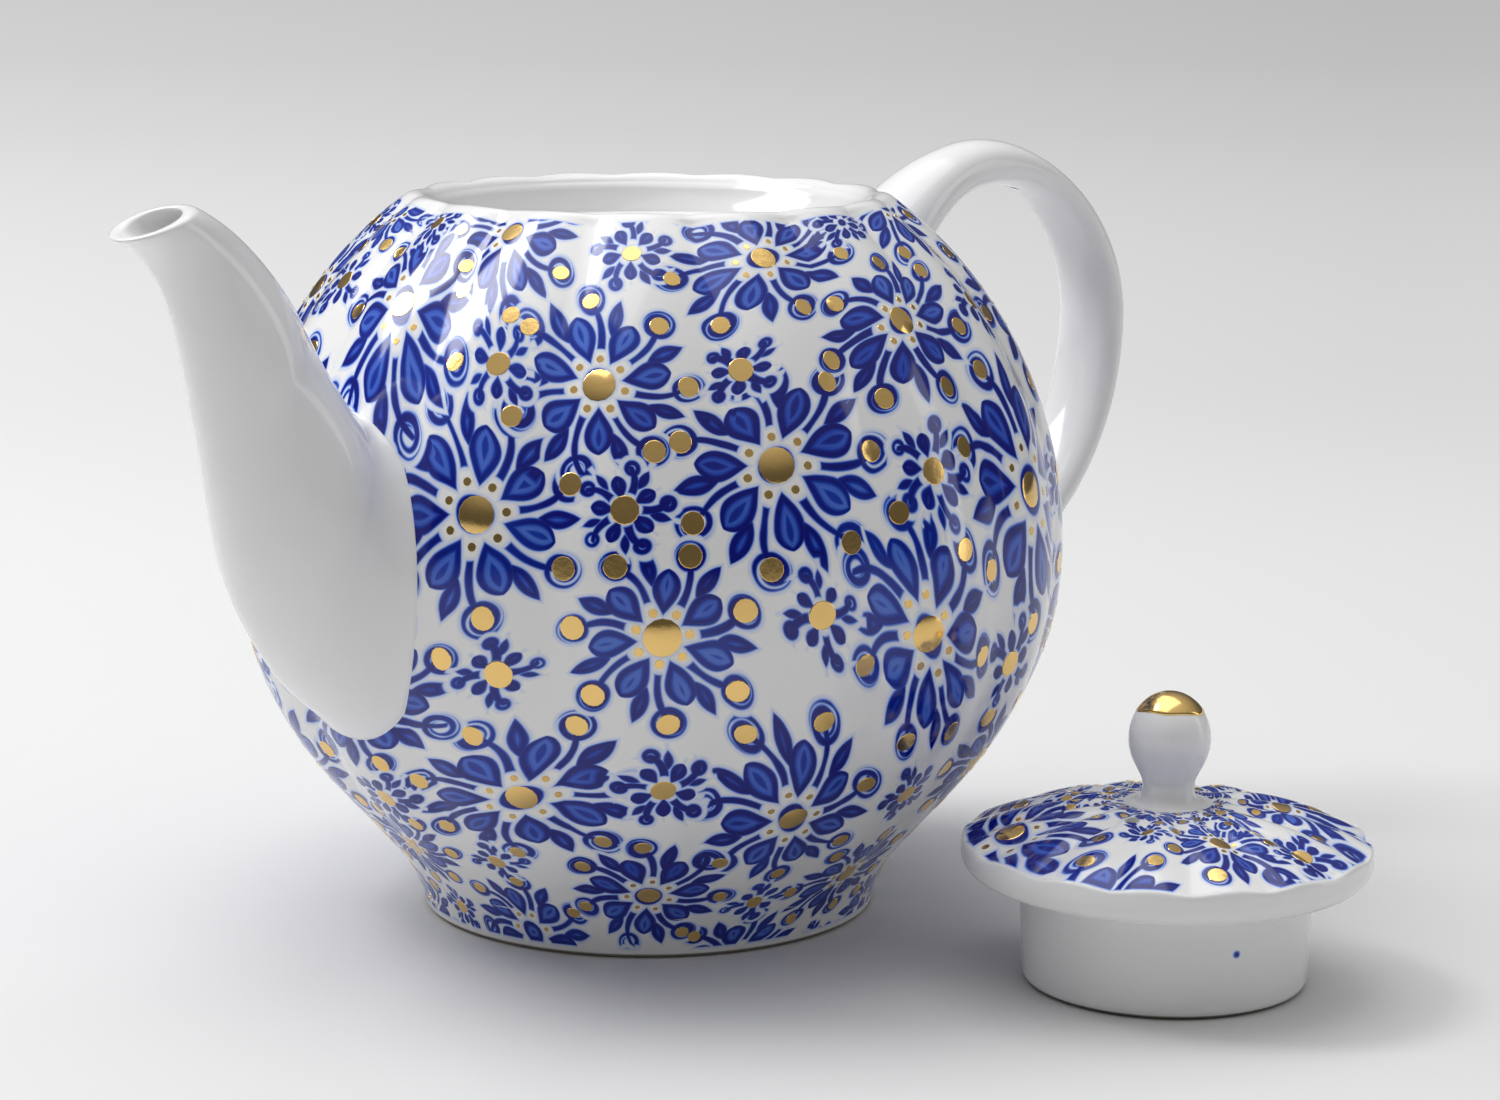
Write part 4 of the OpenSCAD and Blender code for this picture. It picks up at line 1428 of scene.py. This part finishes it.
def wanted(sets, round_units, low, high):
    """Every drop that the flowers ask for, as (u, v, radius)."""
    for u, v, turn, size, petals in flowers(sets, round_units, low, high):
        if size <= LARGE:
            yield u, v, SMALL_BUTTON
            continue
        yield u, v, BUTTON
        for k in range(petals):
            gap_angle = turn + (2 * k + 1) * math.pi / petals
            curl_angle = gap_angle + CURL_ASIDE
            for where, ring, r in ((gap_angle, DOT_RING, DOT), (curl_angle, CURL_R, BERRY)):
                yield u + size * ring * math.cos(where), v + size * ring * math.sin(where), r


def drops(sets, round_units, low, high):
    """The drops that are laid, as rows of (u, v, radius), with none touching another."""
    grown = flowers(sets, round_units, low, high)
    small = [(u, v, size) for u, v, _, size, _ in grown if size < LARGE]
    kept = []
    for u, v, r in sorted(wanted(sets, round_units, low, high), key=lambda drop: -drop[2]):
        covered = any(map_gap(u, v, other, round_units) < CURL_R * other[2] + BERRY_CLEAR
                      for other in small)
        if r == BERRY and covered:
            continue
        u, v = still(u, v, round_units)
        inside = low + EDGE_RADII * r < v < high - EDGE_RADII * r
        apart = all(map_gap(u, v, other, round_units) > r + other[2] + DROP_GAP for other in kept)
        if inside and apart:
            kept.append((u, v, r))
    return np.array(kept)


body_drops = drops(BODY_SETS, ROUND, BODY_LOW, BODY_HIGH)
lid_drops = drops(LID_SETS, LID_ROUND, LID_LOW, LID_HIGH)
print("drops chosen for the pot and the lid:", len(body_drops), len(lid_drops))

# %% [markdown]
# Where the spout and the handle were luted on, no gold is laid: the drops would be buried in the
# seams. Drops on the outermost line of the girth, on the side away from the lid, are left out too,
# so that the finished model reaches no further than the box of the solids.

# %% Clear the drops from under the spout and the handle
SPOUT_SIDE, SPOUT_LOW, SPOUT_HIGH = 19.5, 33, 88    # half the width of its root, its heights, in mm
HANDLE_SIDE, HANDLE_TOP = 12, 88        # half the width of its roots, and where the upper starts
HANDLE_FOOT, HANDLE_FOOT_SIDE = 37, 10  # the middle and half the height of the lower root
OUTERMOST = 0.2                         # drops nearer than this to the edge of the box are left out

x, y, z = body_place(body_drops[:, 0], body_drops[:, 1], 0).T
under_spout = (x < 0) & (np.abs(y) < SPOUT_SIDE) & (z > SPOUT_LOW) & (z < SPOUT_HIGH)
at_roots = (z > HANDLE_TOP) | (np.abs(z - HANDLE_FOOT) < HANDLE_FOOT_SIDE)
under_handle = (x > 0) & (np.abs(y) < HANDLE_SIDE) & at_roots
body_drops = body_drops[~under_spout & ~under_handle & (y < GIRTH_R - OUTERMOST)]
print("drops of gold on the pot and the lid:", len(body_drops), len(lid_drops))

# %% [markdown]
# One drop is modelled as a flattened ball. Its copies are laid through the same maps as the
# painting, so each bends with the lobes. Its underside reaches a little into the glaze, so that no
# gap shows at its edge.

# %% Model one drop
DROP_SIDES, DROP_RINGS = 14, 4
DROP_FLAT = 0.95                        # the share of its radius over which a drop is flat

bpy.ops.object.select_all(action="DESELECT")
bpy.ops.mesh.primitive_uv_sphere_add(segments=DROP_SIDES, ring_count=DROP_RINGS, radius=1)
master = bpy.context.object
drop_points = corners(master) * MM
middle_rings = np.isclose(np.abs(drop_points[:, 2]), math.sqrt(0.5), atol=0.01)
drop_points[middle_rings] *= (DROP_FLAT * math.sqrt(2), DROP_FLAT * math.sqrt(2), math.sqrt(2))
drop_faces = [tuple(face.vertices) for face in master.data.polygons]
bpy.data.objects.remove(master)
print("corners and faces of a drop:", len(drop_points), len(drop_faces))

# %% [markdown]
# The copies that lie on one piece are joined into one mesh, and their rims stay sharp enough to
# take a light of their own.

# %% Lay the drops
DROP_H, DROP_DEEP = 0.05, 0.15          # how far a drop stands out of the glaze, and reaches in
DROP_SHARP = math.radians(25)


def laid(name, places, place):
    """One piece made of copies of the drop, laid at (u, v, radius) by a map's place function."""
    u = places[:, 0, None] + places[:, 2, None] * drop_points[:, 0]
    v = places[:, 1, None] + places[:, 2, None] * drop_points[:, 1]
    height = np.where(drop_points[:, 2] > 0, DROP_H, DROP_DEEP) * drop_points[:, 2]
    points = place(u, v, np.broadcast_to(height, u.shape)).reshape(-1, 3) * MM
    starts = range(0, len(points), len(drop_points))
    faces = [tuple(i + start for i in face) for start in starts for face in drop_faces]
    mesh = bpy.data.meshes.new(name)
    mesh.from_pydata(points.tolist(), [], faces)
    piece = into_scene(name, mesh)
    only(piece)
    bpy.ops.object.mode_set(mode="EDIT")
    bpy.ops.mesh.select_all(action="SELECT")
    bpy.ops.mesh.normals_make_consistent(inside=False)
    bpy.ops.object.mode_set(mode="OBJECT")
    bpy.ops.object.shade_smooth_by_angle(angle=DROP_SHARP)
    report(piece)
    return piece


gold_on_pot = laid("gold_on_pot", body_drops, body_place)
gold_on_lid = laid("gold_on_lid", lid_drops, lid_place)

# %% [markdown]
# ## Burnished gold
#
# Gold is a metal, so it has no colour but the one it gives to what it mirrors. Rubbed bright after
# its firing it is nearly a mirror, and the marks of rubbing break up its lights a little. Real
# marks are much too fine to see, so these are drawn as coarse as they need to be to show.

# %% Mix the gold
GOLD, GOLD_ROUGHNESS = "#EAC47C", 0.16
RUB_SCALE, RUB_DEEP = 700.0, 0.02       # marks a metre, so one each 1.4 mm, and their depth in mm

gold, tree, shader = new_material("Burnished gold", GOLD, Metallic=1.0, Roughness=GOLD_ROUGHNESS)
rub = add(tree, "ShaderNodeTexCoord").outputs["Object"]
rub = add(tree, "ShaderNodeTexNoise", rub, RUB_SCALE, 2.0, 0.6)
rub = add(tree, "ShaderNodeBump", 1.0, RUB_DEEP * MM, None, rub)
tree.links.new(rub.outputs["Normal"], shader.inputs["Normal"])
for piece in (gold_cap, gold_on_pot, gold_on_lid):
    piece.data.materials.append(gold)
    print(piece.name, "->", gold.name)

# %% [markdown]
# ## Tying the pieces to the frame
#
# Five of the pieces stand in for a solid of the same shape, and the gold is only added on top. Each
# piece rides on the body it moves with: the lid lifts off with its knob, its cap and its own gold.

# %% Tie the pieces to the frame
for piece, node, mover, kind in ((painted_body, "body", "pot", "painted_porcelain"),
                                 (white_spout, "spout", "pot", "white_porcelain"),
                                 (white_handle, "handle", "pot", "white_porcelain"),
                                 (painted_lid, "lid", "lid", "painted_porcelain"),
                                 (white_knob, "knob", "lid", "gilded_porcelain")):
    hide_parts(node)
    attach(piece, mover)
    print(piece.name, "stands in for", node)
for piece, mover in ((gold_cap, "lid"), (gold_on_lid, "lid"), (gold_on_pot, "pot")):
    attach(piece, mover)
    print(piece.name, "rides on", mover)

# %% [markdown]
# ## The floor
#
# The teapot stands on a wide sheet, which lies a fifth of a millimetre below the foot. The sheet
# belongs to the stage and not to the object.

# %% Lay the floor
FLOOR_R, FLOOR_DROP = 40, 0.0002        # in metres

bpy.ops.object.select_all(action="DESELECT")
bpy.ops.mesh.primitive_circle_add(vertices=128, radius=FLOOR_R, fill_type="NGON",
                                  location=(0, 0, -FLOOR_DROP))
table = bpy.context.object
table.name = "table"
print(table.name, "is", 2 * FLOOR_R, "m wide")

# %% [markdown]
# Near the pot the sheet is matt white paper, a plain dull surface that takes the soft shadows.
# From a quarter of a metre behind it, the paper fades into a backdrop that glows by itself: painted
# light, greyer with the distance and to the right as a painted falloff of the light there. The glow
# is there only to be looked at, straight or in a reflection, and it lights nothing.

# %% Mix the paper and the backdrop's painted glow
PAPER, PAPER_ROUGHNESS = "#E0E0E0", 0.7
SWEEP_LONG = 4                          # metres over which the backdrop turns grey
# The backdrop's glow is painted light: its grey deepens with the distance and to the right, a
# painted falloff of the light.
SWEEP = [(0.12, "#EFEFEF"), (0.17, "#EEEEEE"), (0.22, "#EBEBEB"), (0.285, "#E7E7E7"),
         (0.43, "#DCDCDC"), (0.635, "#D3D3D3"), (0.93, "#CFCFCF")]
SIDE_SPAN, SIDE_DARK = 0.2, 0.8         # the tangent of the angle to the right, and the glow there
FADE_FROM, FADE_TO = 0.25, 0.8          # metres behind the pot where the glow sets in

paper, tree, dull_paper = new_material("Matt white paper and painted backdrop glow", PAPER, Roughness=PAPER_ROUGHNESS)
ground = add(tree, "ShaderNodeTexCoord").outputs["Object"]
ground = add(tree, "ShaderNodeVectorRotate", ground, (0, 0, 0), VIEW_TURN, rotation_type="Z_AXIS")
ground = add(tree, "ShaderNodeSeparateXYZ", ground)
away = ground.outputs["Y"]
sweep = add(tree, RANGE, away, 0, SWEEP_LONG, 0, 1)
sweep = add(tree, "ShaderNodeValToRGB", sweep)
set_ramp(sweep, [(stop, paint(code)) for stop, code in SWEEP])
span = add(tree, MATH, away, camera_distance, operation="ADD")
side = add(tree, MATH, ground.outputs["X"], span, operation="DIVIDE")
side = add(tree, RANGE, side, -SIDE_SPAN, SIDE_SPAN, 1.0, SIDE_DARK)
glow = add(tree, "ShaderNodeEmission", sweep, side)
ray = add(tree, "ShaderNodeLightPath").outputs
seen = add(tree, MATH, ray["Is Camera Ray"], ray["Is Glossy Ray"], operation="MAXIMUM")
seen = add(tree, MATH, seen, ray["Is Transmission Ray"], operation="MAXIMUM")
far = add(tree, RANGE, away, FADE_FROM, FADE_TO, 0, 1, interpolation_type="SMOOTHSTEP")
far = add(tree, MATH, far, seen, operation="MULTIPLY")
backdrop = add(tree, "ShaderNodeMixShader", far, dull_paper, glow)
tree.links.new(backdrop.outputs[0], tree.nodes["Material Output"].inputs["Surface"])
table.data.materials.append(paper)
print("the floor's material has", len(tree.nodes), "nodes")

# %% [markdown]
# ## The light
#
# A room gives some light from everywhere, more from above than from the sides. It also gives the
# glaze a soft grey to mirror where no lamp stands.

# %% Set the light of the room
ROOM = [(0.0, "#555555"), (0.3, "#747474"), (0.7, "#C6C6C6"), (1.0, "#F4F4F4")]
ROOM_STRENGTH = 0.8

world = bpy.data.worlds.new("studio")
bpy.context.scene.world = world
world.use_nodes = True
sky = world.node_tree
up = add(sky, "ShaderNodeTexCoord").outputs["Generated"]
up = add(sky, "ShaderNodeSeparateXYZ", up).outputs["Z"]
shade = add(sky, "ShaderNodeValToRGB", up)
set_ramp(shade, [(stop, paint(code)) for stop, code in ROOM])
sky.links.new(shade.outputs["Color"], sky.nodes["Background"].inputs["Color"])
sky.nodes["Background"].inputs["Strength"].default_value = ROOM_STRENGTH
print("the room's light has strength", ROOM_STRENGTH)

# %% [markdown]
# Three soft lamps do the rest. The key lamp stands high on the left and draws the bright patches on
# the lobes. A very large one overhead softens the shadows. A narrow, weak strip on the right gives
# the dark side its thin line of light.

# %% Place the lamps


def soft_light(name, right, away, up, aim, width, height, watts):
    """A rectangular lamp placed as seen from the camera, aimed at a point given the same way."""
    data = bpy.data.lights.new(name, "AREA")
    data.shape = "RECTANGLE"
    data.size, data.size_y, data.energy = width, height, watts
    lamp = into_scene(name, data)
    lamp.location = from_camera(right, away, up)
    lamp.rotation_mode = "QUATERNION"
    lamp.rotation_quaternion = (from_camera(*aim) - lamp.location).to_track_quat("-Z", "Y")
    print(f"{name}: {width} by {height} m, {watts} W")


soft_light("key", -0.86, 0.28, 1.12, (0, 0, 0.05), 0.6, 0.75, 11)
soft_light("overhead", -0.2, 0.2, 1.3, (0, 0, 0), 1.4, 1.2, 7.5)
soft_light("strip", 1.0, 0.0, 0.25, (0, 0, 0.05), 0.25, 0.8, 0.9)
bpy.context.scene.view_settings.view_transform = "Standard"
